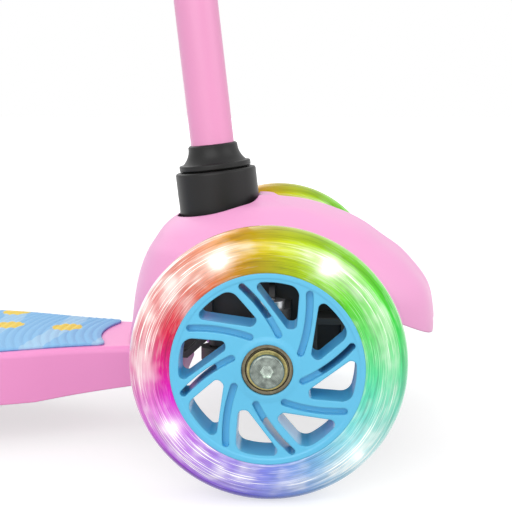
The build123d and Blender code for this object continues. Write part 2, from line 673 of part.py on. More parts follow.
with BuildPart() as slot_shield:
    with BuildSketch(shield_plane):
        with BuildLine():
            Polyline(
                (-50, SHIELD_REAR_R), (-4, SHIELD_FRONT_R),
                (-4, SHIELD_FRONT_R - SHIELD_WALL), (-50, SHIELD_REAR_R - SHIELD_WALL), close=True,
            )
        make_face()
    revolve(axis=LEAN_AXIS, revolution_arc=2 * SHIELD_HALF_ANGLE)
    with BuildSketch(STEM):
        Circle(COLLAR_R)
    extrude(amount=2 * SHIELD_FRONT_R, mode=Mode.SUBTRACT)
write_piece(slot_shield.part, "slot_shield")

# Lean lever: a saddle under the barrel with a ball end in the tie rod.
LEVER_HALF = 6.0
LEVER_LENGTH = 11.0
LEVER_LOW_Z = 61.0
LEVER_STALK_R = 3.6

with BuildPart() as lean_lever:
    with BuildSketch(Plane.XY.offset(LEVER_LOW_Z)):
        with Locations((LINK_X, 0)):
            Rectangle(LEVER_LENGTH, 2 * LEVER_HALF)
    extrude(amount=LEAN_Z - HEAD_BARREL_R / 2 - LEVER_LOW_Z)
    with BuildSketch(across_plane(LINK_X - LEVER_LENGTH, LEAN_Z)):
        Circle(HEAD_BARREL_R)
    extrude(amount=2 * LEVER_LENGTH, mode=Mode.SUBTRACT)
    with BuildSketch(Plane.XY.offset(TIE_ROD_Z)):
        with Locations((LINK_X, 0)):
            Circle(LEVER_STALK_R)
    extrude(amount=LEVER_LOW_Z - TIE_ROD_Z)
    with Locations((LINK_X, 0, TIE_ROD_Z)):
        Sphere(BALL_R)
write_piece(lean_lever.part, "lean_lever")

# Centering springs between the lever and the side walls.
SPRING_Z = 67.0
SPRING_R = 2.9
SPRING_WIRE_R = 0.6
SPRING_TURNS = 9
SPRING_START = LEVER_HALF + 0.3 + SPRING_WIRE_R
SPRING_END = WALL_Y - 0.3 - SPRING_WIRE_R

for label, side in SIDES:
    spring_pitch = (SPRING_END - SPRING_START) / SPRING_TURNS
    with BuildPart() as centering_spring:
        with BuildLine() as coil:
            Helix(
                spring_pitch, SPRING_END - SPRING_START, SPRING_R,
                center=(LINK_X, side * SPRING_START, SPRING_Z), direction=(0, side, 0),
            )
        with BuildSketch(Plane(origin=coil.line @ 0, z_dir=coil.line % 0)):
            Circle(SPRING_WIRE_R)
        sweep(path=coil.line, is_frenet=True)
    write_piece(centering_spring.part, f"{label}_centering_spring")
print("centering spring gap", round(spring_pitch - 2 * SPRING_WIRE_R, 2))

# Stem cone, tubes, sleeve and foot of the T-bar.
CONE_LOW = COLLAR_TOP + 0.5
CONE_SPIGOT_R = 16.4
CONE_FLANGE_R = 18.4
CONE_FLANGE = 3.1
CONE_TOP = 69.5
CONE_TOP_R = 12.6
CONE_LIP = 0.8

with BuildPart() as stem_cone:
    with BuildSketch(STEM_SECTION):
        with BuildLine():
            rim = FilletPolyline(
                (CONE_SPIGOT_R, CONE_LOW), (CONE_FLANGE_R, CONE_LOW),
                (CONE_FLANGE_R, CONE_LOW + CONE_FLANGE), (CONE_FLANGE_R - 1.8, CONE_LOW + CONE_FLANGE),
                radius=CONE_LIP,
            )
            flare = ThreePointArc(
                rim @ 1, (13.8, CONE_LOW + 6.6), (CONE_TOP_R + 0.1, CONE_TOP - CONE_LIP)
            )
            Polyline(
                flare @ 1, (CONE_TOP_R - CONE_LIP, CONE_TOP), (LOWER_TUBE_R, CONE_TOP),
                (LOWER_TUBE_R, COLLAR_TOP), (CONE_SPIGOT_R, COLLAR_TOP), rim @ 0,
            )
        make_face()
    revolve(axis=STEM_AXIS)
write_piece(stem_cone.part, "stem_cone")


def stem_ring(low, high, outer, inner):
    """Ring round the stem between two lengths up the stem."""
    with BuildSketch(STEM.offset(low)) as ring:
        Circle(outer)
        Circle(inner, mode=Mode.SUBTRACT)
    extrude(ring.sketch, amount=high - low)


with BuildPart() as lower_tube:
    stem_ring(LOWER_TUBE_FOOT, LOWER_TUBE_TOP, LOWER_TUBE_R, LOWER_TUBE_BORE_R)
    with BuildSketch(lock_plane):
        Circle(LOCK_SHANK_R)
    extrude(amount=COLLAR_R, mode=Mode.SUBTRACT)
write_piece(lower_tube.part, "lower_tube")

SLEEVE_LOW = LOWER_TUBE_TOP - 38.0
SLEEVE_RIM = 1.5
with BuildPart() as tube_sleeve:
    stem_ring(SLEEVE_LOW, LOWER_TUBE_TOP, LOWER_TUBE_BORE_R, UPPER_TUBE_R + RUNNING_FIT)
    stem_ring(LOWER_TUBE_TOP, LOWER_TUBE_TOP + SLEEVE_RIM, LOWER_TUBE_R, UPPER_TUBE_R + RUNNING_FIT)
write_piece(tube_sleeve.part, "tube_sleeve")

with BuildPart() as upper_tube:
    stem_ring(UPPER_TUBE_FOOT, BAR_HEIGHT - BAR_R - 1.0, UPPER_TUBE_R, UPPER_TUBE_BORE_R)
write_piece(upper_tube.part, "upper_tube")

FOOT_LENGTH = 12.0
with BuildPart() as tube_foot:
    with BuildSketch(STEM.offset(UPPER_TUBE_FOOT - FOOT_LENGTH)):
        Circle(LOWER_TUBE_BORE_R - 2 * RUNNING_FIT)
    extrude(amount=FOOT_LENGTH)
    with BuildSketch(STEM.offset(UPPER_TUBE_FOOT)):
        Circle(UPPER_TUBE_BORE_R)
    extrude(amount=FOOT_LENGTH)
write_piece(tube_foot.part, "tube_foot")

# Quick-release clamp on top of the lower tube: split ring, bolt with a cross pin, nut and cam lever.
CLAMP_LOW = LOWER_TUBE_TOP - 26.0
CLAMP_TOP = LOWER_TUBE_TOP + 4.0
CLAMP_R = 15.5
CLAMP_BOLT_ALONG = LOWER_TUBE_TOP - 10.0
CLAMP_BOLT_X = -21.0
CLAMP_BOLT_R = 3.0
EAR_HALF = 9.0
EAR_HEIGHT = 16.0
EAR_REAR = -27.0
SLIT = 2.4
CAM_Y = -14.5
CAM_R = 5.2
CAM_PIN_R = 3.4
CAM_HEIGHT = 14.0
LEVER_REACH = 36.0
LEVER_PLATE = 4.0
ear_plane = STEM.offset(CLAMP_BOLT_ALONG - EAR_HEIGHT / 2)
cam_plane = STEM.offset(CLAMP_BOLT_ALONG - CAM_HEIGHT / 2)
bolt_plane = Plane(origin=stem_point(CLAMP_BOLT_X, 0, CLAMP_BOLT_ALONG), x_dir=STEM.x_dir, z_dir=(0, 1, 0))

with BuildPart() as clamp_body:
    with BuildSketch(STEM.offset(CLAMP_LOW)):
        Circle(CLAMP_R)
    extrude(amount=CLAMP_TOP - CLAMP_LOW)
    fillet(clamp_body.edges().filter_by(GeomType.CIRCLE), 1.2)
    with BuildSketch(ear_plane):
        with Locations((EAR_REAR, 0)):
            Rectangle(-EAR_REAR - LOWER_TUBE_R, 2 * EAR_HALF, align=(Align.MIN, Align.CENTER))
    extrude(amount=EAR_HEIGHT)
    with BuildSketch(STEM.offset(CLAMP_LOW)):
        Circle(LOWER_TUBE_R)
    extrude(amount=LOWER_TUBE_TOP + SLEEVE_RIM + 0.2 - CLAMP_LOW, mode=Mode.SUBTRACT)
    with BuildSketch(STEM.offset(CLAMP_LOW)):
        Circle(UPPER_TUBE_R + 0.3)
    extrude(amount=CLAMP_TOP - CLAMP_LOW, mode=Mode.SUBTRACT)
    with BuildSketch(STEM.offset(CLAMP_LOW)):
        with Locations((EAR_REAR, 0)):
            Rectangle(-EAR_REAR, SLIT, align=(Align.MIN, Align.CENTER))
    extrude(amount=CLAMP_TOP - CLAMP_LOW, mode=Mode.SUBTRACT)
    with BuildSketch(bolt_plane):
        Circle(CLAMP_BOLT_R)
    extrude(amount=2 * EAR_HALF, both=True, mode=Mode.SUBTRACT)
write_piece(clamp_body.part, "clamp_body")

CLAMP_NUT_THICKNESS = 5.0
with BuildPart() as clamp_bolt:
    with BuildSketch(bolt_plane.offset(CAM_Y)):
        Circle(CLAMP_BOLT_R)
    extrude(amount=EAR_HALF + CLAMP_NUT_THICKNESS + 1.0 - CAM_Y)
    with BuildSketch(cam_plane):
        with Locations((CLAMP_BOLT_X, CAM_Y)):
            Circle(CAM_PIN_R)
    extrude(amount=CAM_HEIGHT)
write_piece(clamp_bolt.part, "clamp_bolt")

with BuildPart() as clamp_nut:
    with BuildSketch(bolt_plane.offset(EAR_HALF)):
        RegularPolygon(CLAMP_BOLT_R + 2.5, 6, major_radius=False)
        Circle(CLAMP_BOLT_R, mode=Mode.SUBTRACT)
    extrude(amount=CLAMP_NUT_THICKNESS)
write_piece(clamp_nut.part, "clamp_nut")

with BuildPart() as clamp_lever:
    with BuildSketch(cam_plane):
        with Locations((CLAMP_BOLT_X, CAM_Y)):
            Circle(CAM_R)
        with Locations((CLAMP_BOLT_X, CAM_Y - CAM_R)):
            Rectangle(LEVER_REACH, LEVER_PLATE - 0.4, align=(Align.MIN, Align.MIN))
        with Locations((CLAMP_BOLT_X + LEVER_REACH, CAM_Y - CAM_R + (LEVER_PLATE - 0.4) / 2)):
            Circle((LEVER_PLATE - 0.4) / 2)
        with Locations((CLAMP_BOLT_X, CAM_Y)):
            Circle(CAM_PIN_R + 0.1, mode=Mode.SUBTRACT)
    extrude(amount=CAM_HEIGHT)
    with BuildSketch(STEM.offset(CLAMP_BOLT_ALONG - CLAMP_BOLT_R - 0.4)):
        with Locations((CLAMP_BOLT_X, CAM_Y)):
            Circle(CAM_R + 2.5)
    extrude(amount=2 * (CLAMP_BOLT_R + 0.4), mode=Mode.SUBTRACT)
write_piece(clamp_lever.part, "clamp_lever")

# Tee, handlebar and grips at the top.
TEE_R = 14.0
TEE_HALF = 32.0
TEE_NECK_R = 13.0
TEE_NECK_LOW = BAR_HEIGHT - 34.0
TEE_SCREW_Y = 20.0
TEE_SCREW_R = 2.0
TEE_SCREW_HEAD_R = 3.2
GRIP_R = 14.2
GRIP_FLANGE_R = 17.0
GRIP_FLANGE = 4.0
GRIP_BULB_R = 17.5
bar_plane = Plane(origin=stem_point(0, 0, BAR_HEIGHT), x_dir=STEM.x_dir, z_dir=(0, 1, 0))
bar_section = Plane(origin=stem_point(0, 0, BAR_HEIGHT), x_dir=STEM.x_dir, z_dir=STEM.z_dir)
bar_axis = Axis(stem_point(0, 0, BAR_HEIGHT), (0, 1, 0))
screw_plane = Plane(origin=stem_point(-TEE_R, 0, BAR_HEIGHT), x_dir=(0, 1, 0), z_dir=STEM.x_dir)

with BuildPart() as bar_tee:
    with BuildSketch(bar_plane):
        Circle(TEE_R)
    extrude(amount=TEE_HALF, both=True)
    with BuildSketch(STEM.offset(TEE_NECK_LOW)):
        Circle(TEE_NECK_R)
    extrude(amount=BAR_HEIGHT - TEE_NECK_LOW)
    fillet(bar_tee.edges().filter_by(GeomType.CIRCLE), 1.4)
    with BuildSketch(bar_plane):
        Circle(BAR_R)
    extrude(amount=TEE_HALF, both=True, mode=Mode.SUBTRACT)
    with BuildSketch(STEM.offset(TEE_NECK_LOW)):
        Circle(UPPER_TUBE_R)
    extrude(amount=BAR_HEIGHT - BAR_R - 1.0 - TEE_NECK_LOW, mode=Mode.SUBTRACT)
    with BuildSketch(screw_plane):
        with Locations((TEE_SCREW_Y, 0), (-TEE_SCREW_Y, 0)):
            Circle(TEE_SCREW_HEAD_R)
    extrude(amount=2.5, mode=Mode.SUBTRACT)
    with BuildSketch(screw_plane):
        with Locations((TEE_SCREW_Y, 0), (-TEE_SCREW_Y, 0)):
            Circle(TEE_SCREW_R)
    extrude(amount=TEE_R - BAR_R + 1.0, mode=Mode.SUBTRACT)
write_piece(bar_tee.part, "bar_tee")

with BuildPart() as tee_screws:
    with BuildSketch(screw_plane.offset(0.6)):
        with Locations((TEE_SCREW_Y, 0), (-TEE_SCREW_Y, 0)):
            Circle(TEE_SCREW_HEAD_R)
    extrude(amount=1.9)
    with BuildSketch(screw_plane.offset(0.6)):
        with Locations((TEE_SCREW_Y, 0), (-TEE_SCREW_Y, 0)):
            Circle(TEE_SCREW_R)
    extrude(amount=TEE_R - BAR_R - 0.8)
write_piece(tee_screws.part, "tee_screws")

with BuildPart() as handlebar:
    with BuildSketch(bar_plane):
        Circle(BAR_R)
        Circle(BAR_BORE_R, mode=Mode.SUBTRACT)
    extrude(amount=BAR_HALF, both=True)
write_piece(handlebar.part, "handlebar")

for label, side in SIDES:
    with BuildPart() as grip:
        with BuildSketch(bar_section):
            with BuildLine():
                body = FilletPolyline(
                    (BAR_R, side * GRIP_START), (GRIP_FLANGE_R, side * GRIP_START),
                    (GRIP_FLANGE_R, side * (GRIP_START + GRIP_FLANGE)),
                    (GRIP_R, side * (GRIP_START + GRIP_FLANGE + 2)),
                    (GRIP_R, side * (BAR_HALF - 4)), (GRIP_BULB_R, side * (BAR_HALF + 1)),
                    (GRIP_BULB_R, side * GRIP_END), (0, side * GRIP_END), radius=1.8,
                )
                Polyline(body @ 1, (0, side * BAR_HALF), (BAR_R, side * BAR_HALF), body @ 0)
            make_face()
        revolve(axis=bar_axis)
    write_piece(grip.part, f"{label}_grip")

# Deck outline: neck in front, widest under the rider, fork behind.
DECK_WIDE_X = 20.0
DECK_TAIL_X = -130.0
FORK_START_X = -195.0
MAT_REAR_X = -160.0


def deck_shape(inset):
    """Plan of the deck, or of a smaller shape that keeps a margin inside its edge."""
    front_x = DECK_FRONT_X - inset
    rear_x = FORK_END_X + inset
    with BuildSketch() as shape:
        with BuildLine():
            flank = Spline(
                (front_x, NECK_END_HALF - inset), (NECK_X, NECK_HALF - inset),
                (DECK_WIDE_X, DECK_HALF - inset),
                tangents=((-1.0, 0.08), (-1.0, 0.0)),
            )
            edge = Line(flank @ 1, (DECK_TAIL_X, DECK_HALF - inset))
            tail = Spline(edge @ 1, (FORK_START_X, FORK_HALF - inset), tangents=((-1.0, 0.0), (-1.0, 0.0)))
            Line(tail @ 1, (rear_x, FORK_HALF - inset))
            mirror(about=Plane.XZ)
            Line((front_x, NECK_END_HALF - inset), (front_x, inset - NECK_END_HALF))
            Line((rear_x, FORK_HALF - inset), (rear_x, inset - FORK_HALF))
        make_face()
        fillet(shape.vertices().group_by(Axis.X)[0], FORK_CORNER)
        fillet(shape.vertices().group_by(Axis.X)[-1], NECK_CORNER)
    return shape.sketch


with BuildSketch() as mat_outline:
    with BuildLine():
        front = ThreePointArc(ahead(-80, NECK_HALF), ahead(-91, 0), ahead(-80, -NECK_HALF))
        Polyline(
            front @ 1, (NECK_X, -2 * DECK_HALF), (MAT_REAR_X, -2 * DECK_HALF),
            (MAT_REAR_X, 2 * DECK_HALF), (NECK_X, 2 * DECK_HALF), front @ 0,
        )
    make_face()
    add(deck_shape(MAT_MARGIN), mode=Mode.INTERSECT)
    fillet(mat_outline.vertices().group_by(Axis.X)[0], MAT_CORNER)
    fillet(mat_outline.vertices().group_by(Axis.X)[-1], MAT_FRONT_CORNER)

RIB_PITCH = 36.0
RIB_COUNT = 9
LONG_RIB_Y = 26.0
DECK_RIB = 2.4
BOSS_R = 6.0
BOSS_LOW_Z = 34.0
HINGE_LUG_Y = 20.0
HINGE_LUG = 6.0
HINGE_LUG_R = 7.0
AXLE_HOLE_R = AXLE_R + RUNNING_FIT

with BuildPart() as deck:
    with BuildSketch(Plane.XY.offset(DECK_BOTTOM)):
        add(deck_shape(0.0))
    extrude(amount=DECK_TOP - DECK_BOTTOM)
    fillet(deck.faces().sort_by(Axis.Z)[-1].outer_wire().edges(), 3.0)
    slope_start = NECK_X - 21.0
    with BuildSketch(side_plane(0)):
        with BuildLine():
            Polyline(
                (slope_start, DECK_BOTTOM), (DECK_FRONT_X, DECK_BOTTOM),
                (DECK_FRONT_X, DECK_BOTTOM + (DECK_FRONT_X - slope_start) * NECK_SLOPE), close=True,
            )
        make_face()
    extrude(amount=DECK_HALF, both=True, mode=Mode.SUBTRACT)
    with BuildSketch(Plane.XY):
        with Locations((FORK_ROOT_X, 0)):
            Rectangle(2 * REAR_WHEEL_R, 2 * FORK_SLOT_HALF, align=(Align.MAX, Align.CENTER))
    extrude(amount=DECK_TOP, mode=Mode.SUBTRACT)
    with BuildSketch(Plane.XY.offset(DECK_BOTTOM)):
        add(deck_shape(DECK_WALL))
        with Locations((FORK_ROOT_X + DECK_WALL, 0)):
            Rectangle(3 * REAR_WHEEL_R, 2 * DECK_HALF, align=(Align.MAX, Align.CENTER), mode=Mode.SUBTRACT)
        for k in range(RIB_COUNT):
            with Locations((MAT_REAR_X + k * RIB_PITCH, 0)):
                Rectangle(DECK_RIB, 2 * DECK_HALF, mode=Mode.SUBTRACT)
        with Locations((0, 0), (0, LONG_RIB_Y), (0, -LONG_RIB_Y)):
            Rectangle(2 * DECK_FRONT_X + 100.0, DECK_RIB, mode=Mode.SUBTRACT)
    extrude(amount=DECK_TOP - DECK_SKIN - DECK_BOTTOM, mode=Mode.SUBTRACT)
    with BuildSketch(Plane.XY.offset(BOSS_LOW_Z)):
        with Locations(SUBFRAME_BOLTS):
            Circle(BOSS_R)
    extrude(amount=DECK_TOP - DECK_SKIN - BOSS_LOW_Z)
    with BuildSketch(Plane.XY.offset(BOSS_LOW_Z)):
        with Locations(SUBFRAME_BOLTS):
            Circle(SUBFRAME_BOLT_R)
    extrude(amount=DECK_TOP - BOSS_LOW_Z, mode=Mode.SUBTRACT)
    with BuildSketch(Plane.XY.offset(DECK_TOP - MAT_RECESS)):
        add(mat_outline.sketch)
    extrude(amount=MAT_THICKNESS, mode=Mode.SUBTRACT)
    for label, side in SIDES:
        with BuildSketch(side_plane(side * HINGE_LUG_Y)):
            with Locations((BRAKE_HINGE_X, BRAKE_HINGE_Z)):
                Circle(HINGE_LUG_R)
            with Locations((BRAKE_HINGE_X, DECK_TOP - 2.0)):
                Rectangle(2 * HINGE_LUG_R, BRAKE_HINGE_Z - DECK_TOP + 2.0, align=(Align.CENTER, Align.MIN))
        extrude(amount=-side * HINGE_LUG)
    with BuildSketch(side_plane(0)):
        with Locations((BRAKE_HINGE_X, BRAKE_HINGE_Z)):
            Circle(BRAKE_PIN_R)
        with Locations((REAR_AXLE_X, REAR_WHEEL_R)):
            Circle(AXLE_HOLE_R)
    extrude(amount=2 * DECK_HALF, both=True, mode=Mode.SUBTRACT)
write_piece(deck.part, "deck")

with BuildPart() as grip_mat:
    with BuildSketch(Plane.XY.offset(DECK_TOP - MAT_RECESS)):
        add(mat_outline.sketch)
    extrude(amount=MAT_THICKNESS)
write_piece(grip_mat.part, "grip_mat")

SUBFRAME_BOLT_HEAD_R = 4.0
SUBFRAME_BOLT_HEAD = 3.5
with BuildPart() as subframe_bolts:
    with BuildSketch(Plane.XY.offset(BOSS_LOW_Z + 2.0)):
        with Locations(SUBFRAME_BOLTS):
            Circle(SUBFRAME_BOLT_R)
    extrude(amount=FLANGE_TOP - BOSS_LOW_Z - 2.0)
    with BuildSketch(Plane.XY.offset(FLANGE_TOP)):
        with Locations(SUBFRAME_BOLTS):
            Circle(SUBFRAME_BOLT_HEAD_R)
            RegularPolygon(BOLT_SOCKET_R, 6, major_radius=False, mode=Mode.SUBTRACT)
    extrude(amount=SUBFRAME_BOLT_HEAD)
write_piece(subframe_bolts.part, "subframe_bolts")


# The widest place of a level section is a share of its length, further forward near the top.
WIDEST_SHARE = 0.45
WIDEST_GAIN = 0.4 / 22.5
WIDEST_LEVEL = 98.5


def hood_edge(degrees, widest, reach_front, reach_rear, half_width):
    """Point of a level section: a superellipse, longer or shorter in front than behind."""
    along = cos(radians(degrees))
    across = sin(radians(degrees))
    power = 2.0 / HOOD_BLUNTNESS
    reach = reach_front if along > 0 else reach_rear
    x = widest + reach * abs(along) ** power * (1 if along > 0 else -1)
    y = half_width * abs(across) ** power * (1 if across > 0 else -1)
    return (FRONT_AXLE_X + x, y)


def hood_body(inset):
    """Solid of the hood's outer form, or of its hollow when inset by the wall."""
    with BuildPart() as body:
        for height, rear, front, half_width in HOOD_LEVELS:
            drop = inset * (height - HOOD_LEVELS[0][0]) / (HOOD_LEVELS[-1][0] - HOOD_LEVELS[0][0])
            share = WIDEST_SHARE + WIDEST_GAIN * max(0.0, height - WIDEST_LEVEL)
            reach_rear = share * (front - rear - 2 * inset)
            reach_front = (1 - share) * (front - rear - 2 * inset)
            widest = rear + inset + reach_rear
            with BuildSketch(Plane.XY.offset(height - drop)):
                with BuildLine():
                    Spline(
                        [
                            hood_edge(turn * 22.5, widest, reach_front, reach_rear, half_width - inset)
                            for turn in range(16)
                        ],
                        periodic=True,
                    )
                make_face()
        loft()
    return body.part


# Hood: a hollow shell with wheel arches, an oval opening for the collar and posts for its screws.
OPENING_R = 21.3
OPENING_TRAVEL = 7.6
hood_outer = hood_body(0.0)
hood_hollow = hood_body(HOOD_WALL)
post_starts = ((FRONT_POST, TAB_Z + TAB_THICKNESS), (REAR_POST, FLANGE_TOP))

with BuildPart() as hood_posts:
    for (post_x, post_y), post_z in post_starts:
        with BuildSketch(Plane.XY.offset(post_z)):
            with Locations((post_x, post_y), (post_x, -post_y)):
                Circle(POST_R)
                Circle(SCREW_R, mode=Mode.SUBTRACT)
        extrude(amount=HOOD_LEVELS[-1][0] - post_z)
    add(hood_outer, mode=Mode.INTERSECT)

with BuildPart() as front_hood:
    add(hood_outer)
    add(hood_hollow, mode=Mode.SUBTRACT)
    with BuildSketch(side_plane(0)):
        with BuildLine():
            arch = ThreePointArc(ahead(-58, 66), ahead(0, 101), ahead(60, 66.3))
            Polyline(
                arch @ 1, ahead(76.6, 58), ahead(80, 56.6), ahead(81.6, 57.4), ahead(82.3, 59), ahead(90, 60),
                ahead(90, 40), ahead(-58, 40), arch @ 0,
            )
        make_face()
    extrude(amount=2 * DECK_HALF, both=True, mode=Mode.SUBTRACT)
    with BuildSketch(STEM.offset(LOWER_TUBE_FOOT)):
        SlotOverall(2 * (OPENING_R + OPENING_TRAVEL), 2 * OPENING_R, rotation=90)
    extrude(amount=COLLAR_TOP, mode=Mode.SUBTRACT)
    add(hood_posts.part)
write_piece(front_hood.part, "front_hood")

with BuildPart() as hood_screws:
    for (post_x, post_y), post_z in post_starts:
        seat = TAB_Z if post_z > TAB_Z else DECK_TOP + SCREW_HEAD_HEIGHT
        with BuildSketch(Plane.XY.offset(seat)):
            with Locations((post_x, post_y), (post_x, -post_y)):
                Circle(SCREW_R)
        extrude(amount=post_z + 8.0 - seat)
        with BuildSketch(Plane.XY.offset(seat - SCREW_HEAD_HEIGHT)):
            with Locations((post_x, post_y), (post_x, -post_y)):
                Circle(SCREW_HEAD_R)
        extrude(amount=SCREW_HEAD_HEIGHT)
write_piece(hood_screws.part, "hood_screws")

# Rear axle across the fork.
REAR_HEAD_HEIGHT = 3.0
with BuildPart() as rear_axle_bolt:
    with BuildSketch(axle_plane(REAR_AXLE_X, FORK_HALF, REAR_WHEEL_R, -1)):
        Circle(AXLE_R)
    extrude(amount=-2 * FORK_HALF - NUT_THICKNESS)
    with BuildSketch(axle_plane(REAR_AXLE_X, FORK_HALF, REAR_WHEEL_R, -1)):
        Circle(BOLT_HEAD_R)
        RegularPolygon(BOLT_SOCKET_R, 6, major_radius=False, mode=Mode.SUBTRACT)
    extrude(amount=REAR_HEAD_HEIGHT)
write_piece(rear_axle_bolt.part, "rear_axle_bolt")

with BuildPart() as rear_axle_nut:
    with BuildSketch(axle_plane(REAR_AXLE_X, FORK_HALF, REAR_WHEEL_R, 1)):
        RegularPolygon(NUT_R, 6, major_radius=False)
        Circle(BEARING_BORE_R, mode=Mode.SUBTRACT)
    extrude(amount=NUT_THICKNESS)
write_piece(rear_axle_nut.part, "rear_axle_nut")

with BuildPart() as rear_axle_spacers:
    for label, side in SIDES:
        with BuildSketch(axle_plane(REAR_AXLE_X, BEARING_FACE + SPACER_GAP, REAR_WHEEL_R, side)):
            Circle(SPACER_R)
            Circle(BEARING_BORE_R, mode=Mode.SUBTRACT)
        extrude(amount=FORK_SLOT_HALF - BEARING_FACE - SPACER_GAP)
    with BuildSketch(axle_plane(REAR_AXLE_X, 0, REAR_WHEEL_R, 1)):
        Circle(SPACER_R)
        Circle(BEARING_BORE_R, mode=Mode.SUBTRACT)
    extrude(amount=BEARING_STOP - SPACER_GAP, both=True)
write_piece(rear_axle_spacers.part, "rear_axle_spacers")

# Foot brake: fender, wear plate, rivets, hinge pin and return spring.
FENDER_HALF = 24.0
FENDER_NECK_HALF = HINGE_LUG_Y - 0.5
FENDER_NECK_END = 52.0
FENDER_HINGE_ANGLE = 23.5
BARREL_R = 6.0
SPRING_SLOT_HALF = 6.0
PLATE_START = 78.0
PLATE_END = 112.0
PLATE_HALF = 9.0
PLATE_THICKNESS = 1.6
RIVET_ANGLES = (84.0, 106.0)
RIVET_R = 2.0


def wheel_arc(inner, outer, start, end, half):
    """Curved plate round the rear wheel between two angles."""
    with BuildSketch(side_plane(0)) as plate:
        with BuildLine():
            outside = CenterArc((REAR_AXLE_X, REAR_WHEEL_R), outer, start, end - start)
            inside = CenterArc((REAR_AXLE_X, REAR_WHEEL_R), inner, start, end - start)
            Line(outside @ 0, inside @ 0)
            Line(outside @ 1, inside @ 1)
        make_face()
    extrude(plate.sketch, amount=half, both=True)


def rivet_plane(angle, radius):
    """Plane square to a rivet that points away from the rear axle."""
    outward = (cos(radians(angle)), 0, sin(radians(angle)))
    return Plane(origin=(REAR_AXLE_X, 0, REAR_WHEEL_R), x_dir=(0, 1, 0), z_dir=outward).offset(radius)


with BuildPart() as brake_fender:
    wheel_arc(FENDER_IN_R, FENDER_OUT_R, FENDER_HINGE_ANGLE, FENDER_NECK_END, FENDER_NECK_HALF)
    wheel_arc(FENDER_IN_R, FENDER_OUT_R, FENDER_NECK_END, FENDER_TAIL, FENDER_HALF)
    with BuildSketch(side_plane(0)):
        with Locations((BRAKE_HINGE_X, BRAKE_HINGE_Z)):
            Circle(BARREL_R)
    extrude(amount=FENDER_NECK_HALF, both=True)
    with BuildSketch(side_plane(0)):
        with Locations((BRAKE_HINGE_X, BRAKE_HINGE_Z)):
            Circle(BRAKE_PIN_R + RUNNING_FIT)
    extrude(amount=2 * FENDER_NECK_HALF, both=True, mode=Mode.SUBTRACT)
    with BuildSketch(side_plane(0)):
        with Locations((BRAKE_HINGE_X, BRAKE_HINGE_Z)):
            Circle(BARREL_R + 2.0)
    extrude(amount=SPRING_SLOT_HALF, both=True, mode=Mode.SUBTRACT)
    for angle in RIVET_ANGLES:
        with BuildSketch(rivet_plane(angle, REAR_WHEEL_R)):
            Circle(RIVET_R)
        extrude(amount=2 * REAR_WHEEL_R, mode=Mode.SUBTRACT)
write_piece(brake_fender.part, "brake_fender")

with BuildPart() as brake_wear_plate:
    wheel_arc(FENDER_IN_R - PLATE_THICKNESS, FENDER_IN_R, PLATE_START, PLATE_END, PLATE_HALF)
    for angle in RIVET_ANGLES:
        with BuildSketch(rivet_plane(angle, REAR_WHEEL_R)):
            Circle(RIVET_R)
        extrude(amount=REAR_WHEEL_R, mode=Mode.SUBTRACT)
write_piece(brake_wear_plate.part, "brake_wear_plate")

with BuildPart() as brake_rivets:
    for angle in RIVET_ANGLES:
        with BuildSketch(rivet_plane(angle, FENDER_IN_R - PLATE_THICKNESS)):
            Circle(RIVET_R)
        extrude(amount=FENDER_OUT_R - FENDER_IN_R + PLATE_THICKNESS)
        with BuildSketch(rivet_plane(angle, FENDER_OUT_R)):
            Circle(2 * RIVET_R)
        extrude(amount=1.4)
write_piece(brake_rivets.part, "brake_rivets")

with BuildPart() as brake_hinge_pin:
    with BuildSketch(side_plane(0)):
        with Locations((BRAKE_HINGE_X, BRAKE_HINGE_Z)):
            Circle(BRAKE_PIN_R)
    extrude(amount=HINGE_LUG_Y + HINGE_LUG, both=True)
write_piece(brake_hinge_pin.part, "brake_hinge_pin")

BRAKE_SPRING_R = 4.2
BRAKE_WIRE_R = 0.6
BRAKE_TURNS = 4
BRAKE_COIL = 8.0
with BuildPart() as brake_spring:
    with BuildLine() as brake_coil:
        Helix(
            BRAKE_COIL / BRAKE_TURNS, BRAKE_COIL, BRAKE_SPRING_R,
            center=(BRAKE_HINGE_X, -BRAKE_COIL / 2, BRAKE_HINGE_Z), direction=(0, 1, 0),
        )
    with BuildSketch(Plane(origin=brake_coil.line @ 0, z_dir=brake_coil.line % 0)):
        Circle(BRAKE_WIRE_R)
    sweep(path=brake_coil.line, is_frenet=True)
write_piece(brake_spring.part, "brake_spring")
print("brake spring gap", BRAKE_COIL / BRAKE_TURNS - 2 * BRAKE_WIRE_R)
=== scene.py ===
from colorsys import hsv_to_rgb
from math import radians

